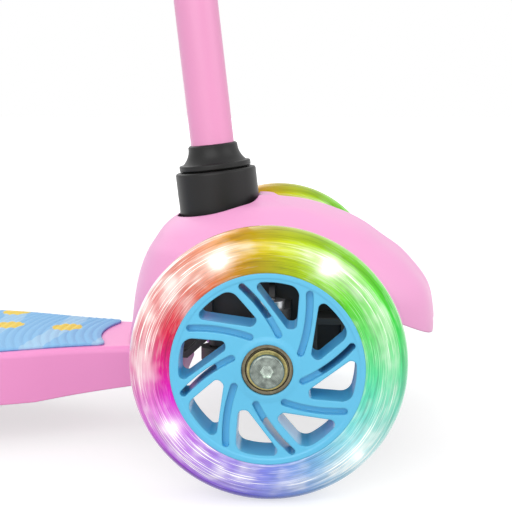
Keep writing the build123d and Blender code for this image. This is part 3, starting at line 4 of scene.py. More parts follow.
import bmesh
import bpy
import numpy as np
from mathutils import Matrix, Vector


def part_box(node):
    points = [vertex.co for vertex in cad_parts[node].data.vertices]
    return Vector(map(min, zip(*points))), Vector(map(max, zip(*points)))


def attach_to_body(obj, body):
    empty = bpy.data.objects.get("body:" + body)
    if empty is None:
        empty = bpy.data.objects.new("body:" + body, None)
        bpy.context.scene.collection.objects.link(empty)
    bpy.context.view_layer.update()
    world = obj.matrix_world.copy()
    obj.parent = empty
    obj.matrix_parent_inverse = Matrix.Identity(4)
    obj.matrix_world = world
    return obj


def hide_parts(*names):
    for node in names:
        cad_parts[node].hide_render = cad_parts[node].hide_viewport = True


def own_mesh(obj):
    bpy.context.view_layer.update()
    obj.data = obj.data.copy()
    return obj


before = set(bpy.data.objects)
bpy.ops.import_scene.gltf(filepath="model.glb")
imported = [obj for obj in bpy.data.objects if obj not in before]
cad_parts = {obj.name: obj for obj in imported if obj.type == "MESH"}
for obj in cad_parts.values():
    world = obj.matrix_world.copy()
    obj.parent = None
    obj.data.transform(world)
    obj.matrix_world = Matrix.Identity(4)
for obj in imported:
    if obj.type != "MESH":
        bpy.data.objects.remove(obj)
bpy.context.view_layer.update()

# Deck. One hollow injection moulding in pink ABS, with a recess for the mat, a neck that the front
# end is bolted to and a fork for the rear wheel. Its skin has a very fine spark-eroded grain.
MM = 0.001
PINK = "#FB9ED6"
CLOUD_SIZE = 60 * MM
GLOSS_SPREAD = 0.06
EDGE_RAYS = 6


def colour(code):
    """Linear RGBA from an sRGB hex code, by the sRGB transfer curve."""
    srgb = np.array([int(code[i:i + 2], 16) / 255 for i in (1, 3, 5)])
    linear = np.where(srgb <= 0.04045, srgb / 12.92, ((srgb + 0.055) / 1.055) ** 2.4)
    return (*linear.tolist(), 1.0)


def add(material, kind, sockets, **properties):
    """Add one node. A socket takes a value, another node's socket or a node's first output."""
    node = material.node_tree.nodes.new(kind)
    for name, value in properties.items():
        setattr(node, name, value)
    for socket, value in sockets.items():
        if isinstance(value, bpy.types.Node):
            value = value.outputs[0]
        if isinstance(value, bpy.types.NodeSocket):
            material.node_tree.links.new(value, node.inputs[socket])
        else:
            node.inputs[socket].default_value = value
    return node


def new_material(name):
    """Material with no nodes yet."""
    material = bpy.data.materials.new(name)
    material.use_nodes = True
    material.node_tree.nodes.clear()
    return material


def moulded(name, code, grain, depth, roughness, edge, shine=0.5):
    """Moulded plastic: a faintly uneven colour, a skin of fine grain and edges rounded by the tool.

    Grain, its depth and the edge radius are in millimetres. The grain is drawn coarser than the
    real one, which is too fine to show.
    """
    material = new_material(name)
    place = add(material, "ShaderNodeTexCoord", {}).outputs["Object"]
    cloud = add(material, "ShaderNodeTexNoise", {"Vector": place, "Scale": 1 / CLOUD_SIZE, "Detail": 3.0})
    tint = add(material, "ShaderNodeMapRange", {"Value": cloud, "To Min": 0.96, "To Max": 1.03})
    shade = add(material, "ShaderNodeHueSaturation", {"Value": tint, "Color": colour(code)})
    gloss = add(
        material, "ShaderNodeMapRange",
        {"Value": cloud, "To Min": roughness - GLOSS_SPREAD, "To Max": roughness + GLOSS_SPREAD},
    )
    skin = add(material, "ShaderNodeTexNoise", {"Vector": place, "Scale": 1 / (grain * MM), "Detail": 2.0})
    rounded = add(material, "ShaderNodeBevel", {"Radius": edge * MM}, samples=EDGE_RAYS)
    bump = add(material, "ShaderNodeBump", {"Height": skin, "Normal": rounded, "Distance": depth * MM})
    shader = add(
        material, "ShaderNodeBsdfPrincipled",
        {"Base Color": shade, "Roughness": gloss, "Specular IOR Level": shine, "Normal": bump},
    )
    add(material, "ShaderNodeOutputMaterial", {"Surface": shader})
    return material


def dress(material, *nodes):
    """Give carried-over pieces their finish."""
    for name in nodes:
        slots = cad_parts[name].data.materials
        slots.clear()
        slots.append(material)


# The grain makes the pink look satin, with broad soft highlights.
pink_abs = moulded("moulded_pink_abs", PINK, grain=0.9, depth=0.02, roughness=0.4, edge=1.0)
dress(pink_abs, "deck")

# Grip mat. A soft blue rubber sheet glued into the deck's recess, moulded with low ridges in arcs
# round its front edge and printed in a paler blue and in yellow.
MAT_BLUE = "#86C2EE"
MAT_BAND = "#A6D3F2"
MAT_DOT = "#F4D552"
RIDGE_PITCH = 4.4 * MM
RIDGE_HEIGHT = 0.55 * MM
RIM_DROP = 0.03 * MM
MAT_THICKNESS = 1.3 * MM
MAT_FRONT_X = 110.0 * MM
MAT_FRONT_R = 61.2 * MM
# Rounded half width and length, by which the distance from the rim is measured.
MAT_HALF = 50 * MM
MAT_LENGTH = 270 * MM
MAT_STATIONS = 400
MAT_ROWS = 500
MAT_COLUMNS = 76
RIM_WIDTH = 2.5 * MM
BAND_SPACING = 110 * MM
DOT_SPACING = 44 * MM
MAT_GRAIN = 0.8 * MM
MAT_GRAIN_DEPTH = 0.05 * MM
SAME_PLACE = 0.001 * MM


def grid_object(name, points, closed_rows=False, closed_columns=False):
    """Smooth mesh object on a grid of points, an array of rows by columns by three."""
    rows, columns = points.shape[:2]
    row = np.arange(rows if closed_rows else rows - 1)[:, None]
    column = np.arange(columns if closed_columns else columns - 1)[None, :]
    here = row * columns
    there = (row + 1) % rows * columns
    beside = (column + 1) % columns
    corners = np.stack([here + column, here + beside, there + beside, there + column], axis=-1)
    mesh = bpy.data.meshes.new(name)
    mesh.from_pydata(points.reshape(-1, 3).tolist(), [], corners.reshape(-1, 4).tolist())
    mesh.shade_smooth()
    piece = bpy.data.objects.new(name, mesh)
    bpy.context.scene.collection.objects.link(piece)
    return piece


def attach(piece, material, body, slot, *nodes):
    """Give a new piece its finish, the body it moves with and the carried-over pieces it stands for."""
    piece.data.materials.append(material)
    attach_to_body(piece, body)
    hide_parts(*nodes)


def mat_half_width(x):
    """Half the mat's width at x: the furthest place where an edge of the carried-over mat crosses x."""
    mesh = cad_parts["grip_mat"].data
    points = np.array([vertex.co for vertex in mesh.vertices])
    start, stop = points[np.array([edge.vertices for edge in mesh.edges])].transpose(1, 2, 0)
    run = np.where(np.abs(stop[0] - start[0]) < SAME_PLACE, np.inf, stop[0] - start[0])
    stations = np.linspace(points[:, 0].min(), points[:, 0].max(), MAT_STATIONS)
    share = (stations[:, None] - start[0]) / run
    crossed = (share >= 0) & (share <= 1) & np.isfinite(run)
    widths = np.where(crossed, start[1] + share * (stop[1] - start[1]), 0).max(axis=1)
    return np.interp(x, stations[1:-1], widths[1:-1])


def mat_surface():
    """Top of the mat: y is a share of the half width at x, and x runs from the rear edge to the front arc.

    The height is that of the ridges, a raised cosine of the distance from the front arc with its
    crests at the carried-over mat's top, and falls to the deck at the rim.
    """
    low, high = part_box("grip_mat")
    along = np.linspace(0, 1, MAT_ROWS)[:, None]
    across = np.linspace(-1, 1, MAT_COLUMNS)[None, :]
    y = across * MAT_HALF + 0 * along
    # x depends on y by the front arc and y on x by the width, so they are settled in a few rounds.
    for _ in range(4):
        front = MAT_FRONT_X + MAT_FRONT_R - np.sqrt(MAT_FRONT_R**2 - y**2)
        front = np.minimum(front, high.x)
        x = low.x + along * (front - low.x)
        y = across * mat_half_width(x)
    apart = np.hypot(x - MAT_FRONT_X - MAT_FRONT_R, y) - MAT_FRONT_R
    ridge = 0.5 - 0.5 * np.cos(2 * np.pi * apart / RIDGE_PITCH)
    margin = np.minimum((1 - np.abs(across)) * MAT_HALF, np.minimum(along, 1 - along) * MAT_LENGTH)
    inside = np.clip(margin / RIM_WIDTH, 0, 1)
    z = high.z - RIDGE_HEIGHT * (1 - ridge * inside) - RIM_DROP * (1 - inside) ** 2
    return np.stack([x, y, z], axis=-1)


def printed_rubber():
    """Soft printed rubber: matt, with wavy bands and round dots of print and a grain that scatters light."""
    material = new_material("printed_soft_rubber")
    place = add(material, "ShaderNodeTexCoord", {}).outputs["Object"]
    bend = add(
        material, "ShaderNodeTexWave",
        {"Vector": place, "Scale": 1 / BAND_SPACING, "Distortion": 4.0, "Detail": 0.0}, bands_direction="X",
    )
    band = add(material, "ShaderNodeMapRange", {"Value": bend, "From Min": 0.72, "From Max": 0.8})
    cells = add(
        material, "ShaderNodeTexVoronoi", {"Vector": place, "Scale": 1 / DOT_SPACING, "Randomness": 0.3},
        voronoi_dimensions="2D",
    )
    dot = add(material, "ShaderNodeMapRange", {"Value": cells, "From Min": 0.19, "From Max": 0.17})
    blues = add(
        material, "ShaderNodeMix", {0: band, 6: colour(MAT_BLUE), 7: colour(MAT_BAND)}, data_type="RGBA"
    )
    print_colour = add(
        material, "ShaderNodeMix", {0: dot, 6: blues.outputs[2], 7: colour(MAT_DOT)}, data_type="RGBA"
    )
    skin = add(material, "ShaderNodeTexNoise", {"Vector": place, "Scale": 1 / MAT_GRAIN, "Detail": 2.0})
    bump = add(material, "ShaderNodeBump", {"Height": skin, "Distance": MAT_GRAIN_DEPTH})
    shader = add(
        material, "ShaderNodeBsdfPrincipled",
        {"Base Color": print_colour.outputs[2], "Roughness": 0.62, "Normal": bump},
    )
    add(material, "ShaderNodeOutputMaterial", {"Surface": shader})
    return material


mat = grid_object("ridged_mat", mat_surface())
solid = mat.modifiers.new("thickness", "SOLIDIFY")
solid.thickness = MAT_THICKNESS
solid.offset = -1.0
attach(mat, printed_rubber(), "chassis", "mat_rubber", "grip_mat")

# Front subframe, knuckles and steering linkage. Glass-filled black polypropylene mouldings with open
# ribs, bolted under the hood. The lever, tie rod and knuckle arms turn the wheels as the stem leans.
BLACK = "#2A2B2D"

# Glass fibres under the skin leave it dull, with soft grey highlights.
black_pp = moulded("moulded_black_polypropylene", BLACK, grain=0.8, depth=0.03, roughness=0.46, edge=0.6)
dress(black_pp, "front_subframe", "left_knuckle", "right_knuckle", "tie_rod", "lean_lever")

# Pins, bolts, nuts and screws of the front end. Zinc-plated steel, turned and cold headed, with the
# faint blue cast and cloudy patches of the plating.
ZINC = "#C9CCD0"
PLATING_PATCH = 5 * MM
METAL_EDGE = 0.35 * MM
SCRATCH_DEPTH = 0.012 * MM


def plated(name, code, roughness, speck):
    """Plated or bare metal: patchy reflectance, and fine scratches whose spacing is given in millimetres."""
    material = new_material(name)
    place = add(material, "ShaderNodeTexCoord", {}).outputs["Object"]
    cloud = add(material, "ShaderNodeTexNoise", {"Vector": place, "Scale": 1 / PLATING_PATCH, "Detail": 4.0})
    tint = add(material, "ShaderNodeMapRange", {"Value": cloud, "To Min": 0.84, "To Max": 1.06})
    shade = add(material, "ShaderNodeHueSaturation", {"Value": tint, "Color": colour(code)})
    gloss = add(
        material, "ShaderNodeMapRange",
        {"Value": cloud, "To Min": roughness - 0.08, "To Max": roughness + 0.1},
    )
    scratch = add(material, "ShaderNodeTexNoise", {"Vector": place, "Scale": 1 / (speck * MM), "Detail": 3.0})
    rounded = add(material, "ShaderNodeBevel", {"Radius": METAL_EDGE}, samples=EDGE_RAYS)
    bump = add(material, "ShaderNodeBump", {"Height": scratch, "Normal": rounded, "Distance": SCRATCH_DEPTH})
    shader = add(
        material, "ShaderNodeBsdfPrincipled",
        {"Base Color": shade, "Metallic": 1.0, "Roughness": gloss, "Normal": bump},
    )
    add(material, "ShaderNodeOutputMaterial", {"Surface": shader})
    return material


zinc_steel = plated("zinc_plated_steel", ZINC, roughness=0.3, speck=0.5)
dress(zinc_steel, "subframe_bolts", "hood_screws", "lean_pivot_pin", "kingpins", "kingpin_nuts")

# Centering springs. Round steel wire wound cold, one each side of the lever, which push the stem
# upright. They are shortened by the lever as the stem leans.
SPRING_GREY = "#8E9094"
WIRE_RADIUS = 0.6 * MM
SPRING_TURNS = 9
STEPS_PER_TURN = 24
WIRE_SIDES = 10


def coil_surface(low, high):
    """Wire along Y wound between two corners of a box: a helix with a round section square to it."""
    centre = (low + high) / 2
    radius = (high.z - low.z) / 2 - WIRE_RADIUS
    turn = np.linspace(0, 2 * np.pi * SPRING_TURNS, STEPS_PER_TURN * SPRING_TURNS + 1)[:, None]
    side = np.linspace(0, 2 * np.pi, WIRE_SIDES, endpoint=False)[None, :]
    reach = radius + WIRE_RADIUS * np.cos(side)
    start = low.y + WIRE_RADIUS
    y = start + (high.y - low.y - 2 * WIRE_RADIUS) * turn / turn[-1] + WIRE_RADIUS * np.sin(side)
    return np.stack([centre.x + reach * np.cos(turn), y, centre.z + reach * np.sin(turn)], axis=-1)


def mend(piece, capped):
    """Merge points at the same place, close the ends of a capped tube and turn all faces outwards."""
    work = bmesh.new()
    work.from_mesh(piece.data)
    bmesh.ops.remove_doubles(work, verts=work.verts, dist=SAME_PLACE)
    if capped:
        bmesh.ops.holes_fill(work, edges=[edge for edge in work.edges if edge.is_boundary])
    bmesh.ops.recalc_face_normals(work, faces=work.faces)
    work.to_mesh(piece.data)
    work.free()


# Oil leaves the wire dark, with narrow highlights.
spring_steel = plated("oiled_spring_steel", SPRING_GREY, roughness=0.32, speck=0.4)
for side, wall in (("left", 1), ("right", 0)):
    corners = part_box(f"{side}_centering_spring")
    coil = grid_object(f"{side}_spring_coil", coil_surface(*corners), closed_columns=True)
    mend(coil, capped=True)
    attach(coil, spring_steel, "chassis", "steel", f"{side}_centering_spring")
    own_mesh(coil)

# Steering head, its shield and bushes. The head is a black ABS moulding that swings on the lean pin;
# the shield fills the hood's opening behind it and two white nylon bushes line its bore.
DEEP_BLACK = "#1D1D1D"
NYLON_WHITE = "#E4E2DA"

# A low specular level keeps the black deep under the lamps.
black_abs = moulded(
    "moulded_black_abs", DEEP_BLACK, grain=0.8, depth=0.02, roughness=0.4, edge=0.6, shine=0.3
)
# Nylon looks milky and a little waxy.
nylon = moulded("moulded_white_nylon", NYLON_WHITE, grain=1.2, depth=0.01, roughness=0.42, edge=0.4)
dress(black_abs, "steering_head", "slot_shield")
dress(nylon, "lean_bushes")

# Wheel cores. Sky-blue ABS mouldings with eight swept spokes, glossy, with slots down the spokes and
# a bore for a ball bearing from each side.
SKY = "#64C7EF"

# A polished tool gives the blue its sharp highlights.
sky_abs = moulded("moulded_sky_blue_abs", SKY, grain=1.6, depth=0.01, roughness=0.24, edge=0.9)
dress(sky_abs, "left_wheel_core", "right_wheel_core", "rear_wheel_core")

# Tyres. Clear polyurethane cast round the cores. Lamps inside light it up, so that it shows a ring of
# hues with pale bands, streaks and white glows beside the lamps. All of this is painted light: it is
# painted into the colour, with a faint painted glow given off by the whole tyre.
CORES = (("left_wheel", 41.4 * MM), ("right_wheel", 41.4 * MM), ("rear_wheel", 27.0 * MM))
FLANK = 11.2 * MM
TYRE_HALF = 12.0 * MM
CROWN = 10.0 * MM
GROOVE = 6.6 * MM
GROOVE_DEPTH = 0.3 * MM
GROOVE_WIDTH = 0.5 * MM
FLANK_STEPS = 10
CROWN_STEPS = 49
TYRE_STEPS = 192
# Share of the section from core to rim, and its whiteness, which is painted light; below nought the colour
# is deeper.
PAINTED_HAZE_BY_SHARE = (
    (0, -0.2), (0.2, -0.1), (0.34, 0.2), (0.44, 0.9), (0.58, 1.0), (0.68, 1.3), (0.76, 0.4),
    (0.84, -0.8), (0.93, -0.8), (1, 0.2),
)
# Painted haze on the sides of the ring that the lamps light more, and less below nought: angle in
# degrees, width in radians, and the whiteness that is added at the core and at the rim.
LAMP_HAZE_LOBES = (
    (20, 0.32, 1.0, 0.4), (90, 0.34, -1.0, -1.4), (138, 0.22, 1.2, 0.0), (162, 0.8, 0.0, 5.0),
    (246, 0.5, 2.2, -3.5), (318, 0.4, 0.6, 3.2),
)
# Painted light of each lamp that shines: angle in degrees, share of the section and strength, and
# then how wide its spot and its halo are, in radians and in shares.
GLOWS = ((60, 0.52, 0.9), (114, 0.48, 0.95), (212, 0.3, 0.55), (316, 0.62, 0.4))
SPOT = (0.07, 0.19)
HALO = (0.2, 0.4)
HALO_STRENGTH = 0.36
# Colour of the painted lamp light.
LAMP_WHITE = "#FFFDF6"
# How far a painted glow whitens the colour, the painted light that it gives off, and the faint
# painted light given off by the rest of the tyre.
GLOW_WHITENS = 0.8
GLOW_LIGHT = 0.5
REST_LIGHT = 0.2
# Noise cells round the wheel and across the section for streaks of painted light and shade, pale
# blocks of painted light and fine painted lines.
STREAKS = (3.0, 3.0, 17.0)
BLOCKS = (5.5, 5.5, 3.6)
LINES = (2.0, 2.0, 48.0)
# Hue in degrees at the wheel's foremost point, and the angle at which the colours are deepest.
FRONT_HUE = 145
DEEPEST = 130
SATURATION = 0.66
SATURATION_SWING = 0.26
BRIGHTNESS = 0.84
HUE_STEP = 20


def tyre_profile(radius, core):
    """Closed section as radius and offset: bore, straight flank with a moulded groove, elliptic crown."""
    shoulder = radius - CROWN
    flank_r = np.linspace(core, shoulder, FLANK_STEPS)[:-1]
    flank_y = np.interp(flank_r, (core, shoulder), (FLANK, TYRE_HALF))
    turn = np.linspace(np.pi / 2, -np.pi / 2, CROWN_STEPS)
    section_r = np.concatenate([flank_r, shoulder + CROWN * np.cos(turn), flank_r[::-1]])
    section_y = np.concatenate([flank_y, TYRE_HALF * np.sin(turn), -flank_y[::-1]])
    groove = np.exp(-(((section_r - radius + GROOVE) / GROOVE_WIDTH) ** 2))
    return section_r, section_y - np.sign(section_y) * GROOVE_DEPTH * groove


def middle(node):
    """Middle of a carried-over piece's box."""
    low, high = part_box(node)
    return (low + high) / 2


def bell(apart, width):
    """Bell curve of a distance, with its half width where it falls to about a third."""
    return np.exp(-((apart / width) ** 2))


def angle_from(turn, degrees):
    """Angle from a place round the wheel, between minus and plus half a turn."""
    return np.angle(np.exp(1j * (turn - np.radians(degrees))))


def tyre_object(name, node, core):
    """Section turned about the axle, with attributes for the painted streaks, haze and glow of lamp light.

    ring is the direction round the axle with the place on the section. The haze is whiteness of painted
    light by radius, below nought where the colour is deeper, plus bell curves in angle for the sides that
    the lamps light more and less, which change from the core to the rim. glow is the painted light about
    the lamps, a sum of small bright and wide faint bell curves in angle and radius.
    """
    low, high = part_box(node)
    centre = middle(node)
    radius = (high.z - low.z) / 2
    section_r, section_y = tyre_profile(radius, core)
    turn = np.linspace(0, 2 * np.pi, TYRE_STEPS, endpoint=False)[:, None]
    r = section_r[None, :] + 0 * turn
    points = np.stack(
        [centre.x + r * np.cos(turn), centre.y + section_y[None, :] + 0 * turn, centre.z + r * np.sin(turn)],
        axis=-1,
    )
    piece = grid_object(name, points, closed_rows=True, closed_columns=True)
    share = (r - core) / (radius - core)
    ring = np.stack([np.cos(turn) + 0 * r, np.sin(turn) + 0 * r, share], axis=-1)
    painted_haze = np.interp(share, *np.transpose(PAINTED_HAZE_BY_SHARE))
    for degrees, width, inner, rim in LAMP_HAZE_LOBES:
        painted_haze = painted_haze + (inner + (rim - inner) * share**3) * bell(angle_from(turn, degrees), width)
    glow = 0 * r
    for degrees, depth, strength in GLOWS:
        apart = angle_from(turn, degrees)
        spot = bell(apart, SPOT[0]) * bell(share - depth, SPOT[1])
        halo = bell(apart, HALO[0]) * bell(share - depth, HALO[1])
        glow = glow + strength * (spot + HALO_STRENGTH * halo)
    for label, kind, values in (
        ("ring", "FLOAT_VECTOR", ring), ("painted_haze", "FLOAT", painted_haze), ("glow", "FLOAT", glow),
    ):
        layer = piece.data.attributes.new(label, kind, "POINT")
        field = "vector" if kind == "FLOAT_VECTOR" else "value"
        layer.data.foreach_set(field, values.ravel().astype(np.float32))
    return piece


def wheel_hue(degrees):
    """Hex code at an angle: the hue falls by a degree for each degree round the wheel.

    The saturation is a mean plus a cosine, so that the warm side is deeper than the cool side.
    """
    saturation = SATURATION + SATURATION_SWING * np.cos(np.radians(degrees - DEEPEST))
    parts = hsv_to_rgb((FRONT_HUE - degrees) / 360 % 1, saturation, BRIGHTNESS)
    return "#" + "".join(f"{round(255 * part):02X}" for part in parts)


def clear_polyurethane():
    """Clear cast polyurethane lit from inside: glossy, with hues round the wheel, its light painted in.

    Painted streaks of light and shade 1 mm wide and painted lines of 0.4 mm run round the wheel, over
    pale blocks of painted light of about 5 by 9 mm, with painted glows about the lamps.
    """
    material = new_material("clear_cast_polyurethane")
    ring = add(material, "ShaderNodeAttribute", {}, attribute_name="ring").outputs["Vector"]
    painted_haze = add(material, "ShaderNodeAttribute", {}, attribute_name="painted_haze").outputs["Fac"]
    glow = add(material, "ShaderNodeAttribute", {}, attribute_name="glow").outputs["Fac"]
    angle = add(material, "ShaderNodeTexGradient", {"Vector": ring}, gradient_type="RADIAL")
    hue = add(material, "ShaderNodeValToRGB", {"Fac": angle})
    stops = hue.color_ramp.elements
    stops.remove(stops[1])
    for degrees in range(-180, 181, HUE_STEP):
        stop = stops[0] if degrees == -180 else stops.new(degrees / 360 + 0.5)
        stop.position = degrees / 360 + 0.5
        stop.color = colour(wheel_hue(degrees))
    # Streaks round the wheel: painted reflected light, paler in some and darker in others.
    stretched = add(material, "ShaderNodeMapping", {"Vector": ring, "Scale": STREAKS})
    streak = add(
        material, "ShaderNodeTexNoise", {"Vector": stretched, "Scale": 1.0, "Detail": 4.0, "Roughness": 0.6}
    )
    pale = add(
        material, "ShaderNodeMapRange", {"Value": streak, "From Min": 0.52, "From Max": 0.74, "To Max": 0.26}
    )
    # Pale blocks of painted light refracted in the clear plastic, which carry the haze.
    blocks = add(material, "ShaderNodeMapping", {"Vector": ring, "Scale": BLOCKS})
    cloud = add(material, "ShaderNodeTexNoise", {"Vector": blocks, "Scale": 1.0, "Detail": 1.0})
    patch = add(
        material, "ShaderNodeMapRange",
        {"Value": cloud, "From Min": 0.36, "From Max": 0.64, "To Min": 0.09, "To Max": 0.19},
    )
    haze = add(
        material, "ShaderNodeMapRange", {"Value": cloud, "From Min": 0.52, "From Max": 0.85, "To Max": 0.2}
    )
    painted_pale_haze = add(material, "ShaderNodeMath", {0: pale, 1: haze}, operation="ADD")
    dark = add(
        material, "ShaderNodeMapRange", {"Value": streak, "From Min": 0.28, "From Max": 0.5, "To Min": 0.7}
    )
    # Fine lines round the wheel: painted shade in the dark ones and painted glints in the bright ones.
    drawn = add(material, "ShaderNodeMapping", {"Vector": ring, "Scale": LINES})
    fine = add(material, "ShaderNodeTexNoise", {"Vector": drawn, "Scale": 1.0, "Detail": 2.0})
    line = add(
        material, "ShaderNodeMapRange", {"Value": fine, "From Min": 0.34, "From Max": 0.48, "To Min": 0.74}
    )
    glint = add(
        material, "ShaderNodeMapRange", {"Value": fine, "From Min": 0.58, "From Max": 0.68, "To Max": 0.55}
    )
    deeper = add(
        material, "ShaderNodeMapRange", {"Value": painted_haze, "From Min": -1.0, "From Max": 0.0, "To Min": 0.66}
    )
    banded = add(material, "ShaderNodeMath", {0: dark, 1: deeper}, operation="MULTIPLY")
    depth = add(material, "ShaderNodeMath", {0: banded, 1: line}, operation="MULTIPLY")
    deep = add(material, "ShaderNodeHueSaturation", {"Value": depth, "Saturation": 1.15, "Color": hue})
    # The painted haze takes the glints and the blocks, and the lamps' painted glow whitens it further.
    clouded = add(material, "ShaderNodeMath", {0: painted_haze, 1: glint}, operation="MULTIPLY")
    bright = add(material, "ShaderNodeMath", {0: clouded, 1: painted_pale_haze}, operation="ADD")
    veil = add(material, "ShaderNodeMath", {0: painted_haze, 1: patch, 2: bright}, operation="MULTIPLY_ADD")
    white = add(
        material, "ShaderNodeMath", {0: glow, 1: GLOW_WHITENS, 2: veil}, operation="MULTIPLY_ADD",
        use_clamp=True,
    )
    lit = add(material, "ShaderNodeMix", {0: white, 6: deep, 7: colour(LAMP_WHITE)}, data_type="RGBA")
    # Painted light given off: strong about the lamps and faint over the rest.
    light = add(
        material, "ShaderNodeMath", {0: glow, 1: GLOW_LIGHT, 2: REST_LIGHT}, operation="MULTIPLY_ADD"
    )
    shader = add(
        material, "ShaderNodeBsdfPrincipled",
        {
            "Base Color": lit.outputs[2], "Roughness": 0.14, "Specular IOR Level": 0.28, "Coat Weight": 0.1,
            "Coat Roughness": 0.04, "Emission Color": lit.outputs[2], "Emission Strength": light,
        },
    )
    add(material, "ShaderNodeOutputMaterial", {"Surface": shader})
    return material


clear_pu = clear_polyurethane()
for wheel, core in CORES:
    cast = tyre_object(f"{wheel}_clear_tyre", f"{wheel}_tyre", core)
    attach(cast, clear_pu, wheel, "clear_tyre", f"{wheel}_tyre")

# Lamps in the wheels. Milky mouldings over small light-emitting diodes, sunk half into the core and
# half into the tyre, and fed by a magnet on the axle as the wheel turns.
LAMP_COVER = "#FBF8EE"

# The cover looks white and spreads the light evenly.
lamp = moulded("milky_lamp_cover", LAMP_COVER, grain=1.0, depth=0.01, roughness=0.3, edge=0.5)
dress(lamp, "left_wheel_led_modules", "right_wheel_led_modules", "rear_wheel_led_modules")

# Bearings, spacers and axle bolts. Ground bearing steel with a bronze tint, yellow zinc spacers, and
# mottled zinc bolts, all with fine rings from turning. Shade is painted into the recesses of the
# bearings and spacers, and a highlight into the recesses of the bolts, the key's socket among them.
BEARING_BRONZE = "#857E6A"
YELLOW_ZINC = "#B0A670"
MOTTLED_ZINC = "#88918A"
TURNED_PITCH = 0.6 * MM
TURNED_DEPTH = 0.008 * MM
TURNED_EDGE = 0.3 * MM
MOTTLE_SIZE = 2.4 * MM
RECESS_REACH = 3 * MM
# Value in recesses: painted shade on the bearings and spacers, a painted highlight on the bolts.
RECESS_SHADE = 0.15
RECESS_HIGHLIGHT = 3.6
# Distance between two crests of the wave texture at a scale of 1.
WAVE_LENGTH = 2 * np.pi / 20


def turned(name, code, axle, dark, light, corner):
    """Turned metal: rings about an axle along Y through a point.

    Patches run from the dark to the light value. Corners and recesses have a value of their own,
    low for painted shade and high for a painted highlight.
    """
    material = new_material(name)
    place = add(material, "ShaderNodeTexCoord", {}).outputs["Object"]
    centred = add(
        material, "ShaderNodeVectorMath", {0: place, 1: (axle.x, 0.0, axle.z)}, operation="SUBTRACT"
    )
    rings = add(
        material, "ShaderNodeTexWave",
        {"Vector": centred, "Scale": WAVE_LENGTH / TURNED_PITCH, "Distortion": 0.6, "Detail": 1.0},
        wave_type="RINGS", rings_direction="Y",
    )
    cloud = add(material, "ShaderNodeTexNoise", {"Vector": place, "Scale": 1 / MOTTLE_SIZE, "Detail": 4.0})
    patch = add(
        material, "ShaderNodeMapRange",
        {"Value": cloud, "From Min": 0.32, "From Max": 0.68, "To Min": dark, "To Max": light},
    )
    ringed = add(material, "ShaderNodeMapRange", {"Value": rings, "To Min": 0.84, "To Max": 1.1})
    # Ambient occlusion finds the recesses, which the corner value paints darker for shade and brighter for a
    # highlight.
    shelter = add(material, "ShaderNodeAmbientOcclusion", {"Distance": RECESS_REACH}, samples=8)
    recess = add(
        material, "ShaderNodeMapRange",
        {"Value": shelter.outputs["AO"], "From Min": 0.2, "From Max": 0.85, "To Min": corner},
    )
    mottle_with_recess_light = add(material, "ShaderNodeMath", {0: patch, 1: recess}, operation="MULTIPLY")
    tone = add(material, "ShaderNodeMath", {0: mottle_with_recess_light, 1: ringed}, operation="MULTIPLY")
    shade = add(material, "ShaderNodeHueSaturation", {"Value": tone, "Color": colour(code)})
    rounded = add(material, "ShaderNodeBevel", {"Radius": TURNED_EDGE}, samples=EDGE_RAYS)
    bump = add(material, "ShaderNodeBump", {"Height": rings, "Normal": rounded, "Distance": TURNED_DEPTH})
    shader = add(
        material, "ShaderNodeBsdfPrincipled",
        {"Base Color": shade, "Metallic": 1.0, "Roughness": 0.24, "Normal": bump},
    )
    add(material, "ShaderNodeOutputMaterial", {"Surface": shader})
    return material


for end in ("left", "right", "rear"):
    axle = middle(f"{end}_wheel_tyre")
    bronzed = turned(f"{end}_ground_bearing_steel", BEARING_BRONZE, axle, dark=0.7, light=1.15, corner=RECESS_SHADE)
    yellowed = turned(f"{end}_yellow_zinc_steel", YELLOW_ZINC, axle, dark=0.7, light=1.2, corner=RECESS_SHADE)
    mottled = turned(f"{end}_mottled_zinc_steel", MOTTLED_ZINC, axle, dark=0.55, light=1.25, corner=RECESS_HIGHLIGHT)
    dress(bronzed, f"{end}_wheel_bearings")
    dress(yellowed, f"{end}_axle_spacers")
    dress(mottled, f"{end}_axle_bolt")
    dress(zinc_steel, f"{end}_axle_nut")

# Hood. A pink ABS shell over the front end, screwed on from below, with an arch over each wheel and
# an oval opening that lets the stem lean.
HOOD_PINK = "#F9ABDB"

# Satin like the deck and the same plastic, drawn slightly paler as painted light, for the brighter light on
# the hood.
pale_pink_abs = moulded("moulded_pale_pink_abs", HOOD_PINK, grain=0.9, depth=0.02, roughness=0.4, edge=1.0)
dress(pale_pink_abs, "front_hood")

# Stem. A powder-coated steel tube in a black flared cone, with a nylon sleeve and a quick-release
# clamp at its top.
STEM_PINK = "#F5A3CF"

# Powder melts into a smooth skin with a faint orange peel.
powder_coat = moulded("pink_powder_coated_steel", STEM_PINK, grain=1.4, depth=0.03, roughness=0.33, edge=0.3)
dress(powder_coat, "lower_tube")
dress(black_abs, "stem_cone", "clamp_body", "clamp_lever")
dress(nylon, "tube_sleeve")
dress(zinc_steel, "clamp_bolt", "clamp_nut", "stem_lock_screw")

# T-bar. Bright chromed steel tubes joined by a black moulded tee with two screws behind, and a plug
# in the foot of the upright.
CHROME = "#A6ABB1"

# Chrome mirrors the studio, blurred a little by polishing marks.
chrome = plated("bright_chromed_steel", CHROME, roughness=0.16, speck=1.5)
dress(chrome, "upper_tube", "handlebar")
dress(black_abs, "bar_tee", "tube_foot")
dress(zinc_steel, "tee_screws")

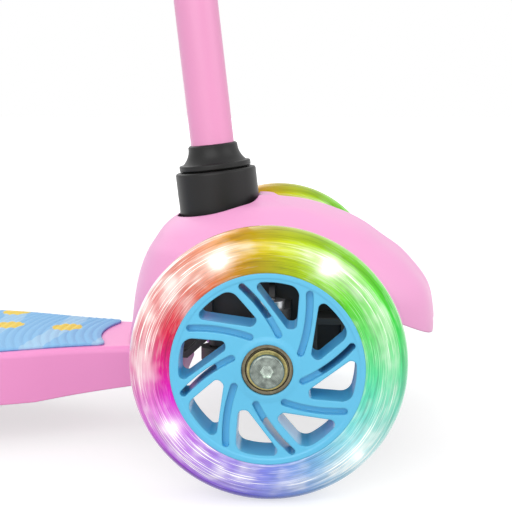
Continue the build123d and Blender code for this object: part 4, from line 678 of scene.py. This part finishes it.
# Grips. Soft sky-blue rubber pushed over the bar ends, with a flange inside, rings for the fingers
# and a round end that shields the hand.
GRIP_BLUE = "#6FC4F0"
GRIP_RADIUS = 13.6 * MM
FLANGE_RADIUS = 16.8 * MM
BULB_RADIUS = 17.4 * MM
BAR_RADIUS = 9.5 * MM
RING_PITCH = 6.0 * MM
RING_HEIGHT = 1.1 * MM
RING_FADE = 2 * MM
INNER_BAND = 8 * MM
OUTER_BAND = 18 * MM
FLANGE_LENGTH = 5.5 * MM
FLANGE_RUN = 2 * MM
BULB_LENGTH = 16 * MM
BULB_RUN = 5 * MM
LIP = 1.6 * MM
DOME = 6.0 * MM
GRIP_STEPS = 260
GRIP_SIDES = 64
RUBBER_CLOUD = 14 * MM
RUBBER_GRAIN = 0.7 * MM
RUBBER_GRAIN_DEPTH = 0.04 * MM


def ease(distance, run):
    """Nought to one over a run, level at both of its ends."""
    share = np.clip(distance / run, 0, 1)
    return share**2 * (3 - 2 * share)


def round_off(distance, radius):
    """How far a quarter circle at an end draws the surface in, by the distance from that end."""
    return radius - radius * np.sqrt(1 - np.clip(1 - distance / radius, 0, 1) ** 2)


def grip_profile(side):
    """Radius by distance from the middle: flange, ringed body between two plain bands, and a round end."""
    low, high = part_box(f"{side}_grip")
    start, end = sorted((abs(low.y), abs(high.y)))
    y = np.linspace(start, end, GRIP_STEPS)
    ring = 0.5 - 0.5 * np.cos(2 * np.pi * (y - start) / RING_PITCH)
    after_flange = np.clip((y - start - INNER_BAND) / RING_FADE, 0, 1)
    before_bulb = np.clip((end - OUTER_BAND - y) / RING_FADE, 0, 1)
    r = GRIP_RADIUS + RING_HEIGHT * ring**1.5 * after_flange * before_bulb
    r = r + (FLANGE_RADIUS - r) * ease(start + FLANGE_LENGTH - y, FLANGE_RUN)
    r = r + (BULB_RADIUS - r) * ease(y - end + BULB_LENGTH, BULB_RUN)
    r = r - round_off(y - start, LIP) - round_off(end - y, DOME)
    return np.concatenate([[BAR_RADIUS], r, [0]]), np.concatenate([[start], y, [end]])


def soft_rubber(name, code):
    """Soft moulded rubber: matt, a little cloudy, with a bloom at grazing angles."""
    material = new_material(name)
    place = add(material, "ShaderNodeTexCoord", {}).outputs["Object"]
    cloud = add(material, "ShaderNodeTexNoise", {"Vector": place, "Scale": 1 / RUBBER_CLOUD, "Detail": 4.0})
    tint = add(material, "ShaderNodeMapRange", {"Value": cloud, "To Min": 0.94, "To Max": 1.04})
    shade = add(material, "ShaderNodeHueSaturation", {"Value": tint, "Color": colour(code)})
    skin = add(material, "ShaderNodeTexNoise", {"Vector": place, "Scale": 1 / RUBBER_GRAIN, "Detail": 2.0})
    bump = add(material, "ShaderNodeBump", {"Height": skin, "Distance": RUBBER_GRAIN_DEPTH})
    shader = add(
        material, "ShaderNodeBsdfPrincipled",
        {
            "Base Color": shade, "Roughness": 0.58, "Normal": bump,
            "Sheen Weight": 0.15, "Sheen Roughness": 0.4,
        },
    )
    add(material, "ShaderNodeOutputMaterial", {"Surface": shader})
    return material


grip_rubber = soft_rubber("soft_sky_blue_rubber", GRIP_BLUE)
bar = middle("handlebar")
turn = np.linspace(0, 2 * np.pi, GRIP_SIDES, endpoint=False)[None, :]
for side, sign in (("left", 1), ("right", -1)):
    r, y = (column[:, None] for column in grip_profile(side))
    surface = np.stack([bar.x + r * np.cos(turn), sign * y + 0 * turn, bar.z + r * np.sin(turn)], axis=-1)
    grip = grid_object(f"{side}_ringed_grip", surface, closed_columns=True)
    mend(grip, capped=False)
    attach(grip, grip_rubber, "t_bar", "grip_rubber", f"{side}_grip")

# Foot brake. A pink ABS fender on a steel hinge pin, sprung up, with a bare steel wear plate riveted
# inside it that rubs on the rear tyre.
# The fender takes the hood's pink, drawn paler as painted light.
dress(pale_pink_abs, "brake_fender")
dress(zinc_steel, "brake_rivets", "brake_hinge_pin", "brake_wear_plate")
dress(spring_steel, "brake_spring")

# Studio. A pale floor under a white surround, one broad soft lamp in front and above, a weaker one at
# each side, and the camera where the photographer stood.
CAMERA_PLACE = (0.2165, -0.5659, 0.1775)
CAMERA_TURN = (radians(81.3), 0.0, radians(2.57))
CAMERA_LENS = 77.34
CAMERA_SENSOR = 36.0
# Name, place, size in metres and power in watts.
LAMPS = (
    ("front_lamp", (-0.2, -1.6, 1.0), 1.6, 16.0),
    ("side_lamp", (1.6, -0.5, 0.9), 1.2, 6.0),
    ("rear_lamp", (-0.6, 1.5, 1.3), 1.4, 6.0),
)
LIT_POINT = Vector((0.12, 0.0, 0.15))
WHITE = (1.0, 1.0, 1.0, 1.0)
FLOOR_GREY = (0.5, 0.5, 0.5, 1.0)
FLOOR_REACH = 6.0
# Lift of the floor near the scooter and far away, and the distances between which it grows.
FLOOR_LIFT = (0.64, 1.0)
LIFT_GROWS = (0.4, 1.2)
SURROUND_LIGHT = 0.68


def seen_directly(tree_owner):
    """One for rays from the camera, mirrors and clear pieces, and zero for light that only bounces."""
    path = add(tree_owner, "ShaderNodeLightPath", {})
    two = add(
        tree_owner, "ShaderNodeMath",
        {0: path.outputs["Is Camera Ray"], 1: path.outputs["Is Glossy Ray"]}, operation="ADD", use_clamp=True,
    )
    return add(
        tree_owner, "ShaderNodeMath",
        {0: two, 1: path.outputs["Is Transmission Ray"]}, operation="ADD", use_clamp=True,
    )


floor_paint = new_material("white_floor_paint")
paint = add(floor_paint, "ShaderNodeBsdfDiffuse", {"Color": FLOOR_GREY})
spot = add(floor_paint, "ShaderNodeTexCoord", {}).outputs["Object"]
away = add(floor_paint, "ShaderNodeVectorMath", {0: spot}, operation="LENGTH").outputs["Value"]
fade = add(
    floor_paint, "ShaderNodeMapRange",
    {
        "Value": away, "From Min": LIFT_GROWS[0], "From Max": LIFT_GROWS[1],
        "To Min": FLOOR_LIFT[0], "To Max": FLOOR_LIFT[1],
    },
)
lift = add(floor_paint, "ShaderNodeMath", {0: seen_directly(floor_paint), 1: fade}, operation="MULTIPLY")
white_light = add(floor_paint, "ShaderNodeEmission", {"Color": WHITE, "Strength": lift})
floor_sum = add(floor_paint, "ShaderNodeAddShader", {0: paint, 1: white_light})
add(floor_paint, "ShaderNodeOutputMaterial", {"Surface": floor_sum})
reach = np.array([-FLOOR_REACH, FLOOR_REACH])
floor = grid_object("floor", np.stack([*np.meshgrid(reach, reach), np.zeros((2, 2))], axis=-1))
floor.data.materials.append(floor_paint)

world = bpy.data.worlds.new("white_surround")
world.use_nodes = True
world.node_tree.nodes.clear()
level = add(world, "ShaderNodeMapRange", {"Value": seen_directly(world), "To Min": SURROUND_LIGHT})
surround = add(world, "ShaderNodeBackground", {"Color": WHITE, "Strength": level})
add(world, "ShaderNodeOutputWorld", {"Surface": surround})
bpy.context.scene.world = world

for name, place, size, power in LAMPS:
    light = bpy.data.lights.new(name, "AREA")
    light.size = size
    light.energy = power
    lamp_object = bpy.data.objects.new(name, light)
    lamp_object.location = place
    lamp_object.rotation_euler = (LIT_POINT - Vector(place)).to_track_quat("-Z", "Y").to_euler()
    bpy.context.scene.collection.objects.link(lamp_object)

camera = bpy.data.objects.new("camera", bpy.data.cameras.new("camera"))
camera.data.lens = CAMERA_LENS
camera.data.sensor_width = CAMERA_SENSOR
camera.location = CAMERA_PLACE
camera.rotation_euler = CAMERA_TURN
bpy.context.scene.collection.objects.link(camera)
bpy.context.scene.camera = camera
bpy.context.scene.view_settings.view_transform = "Standard"
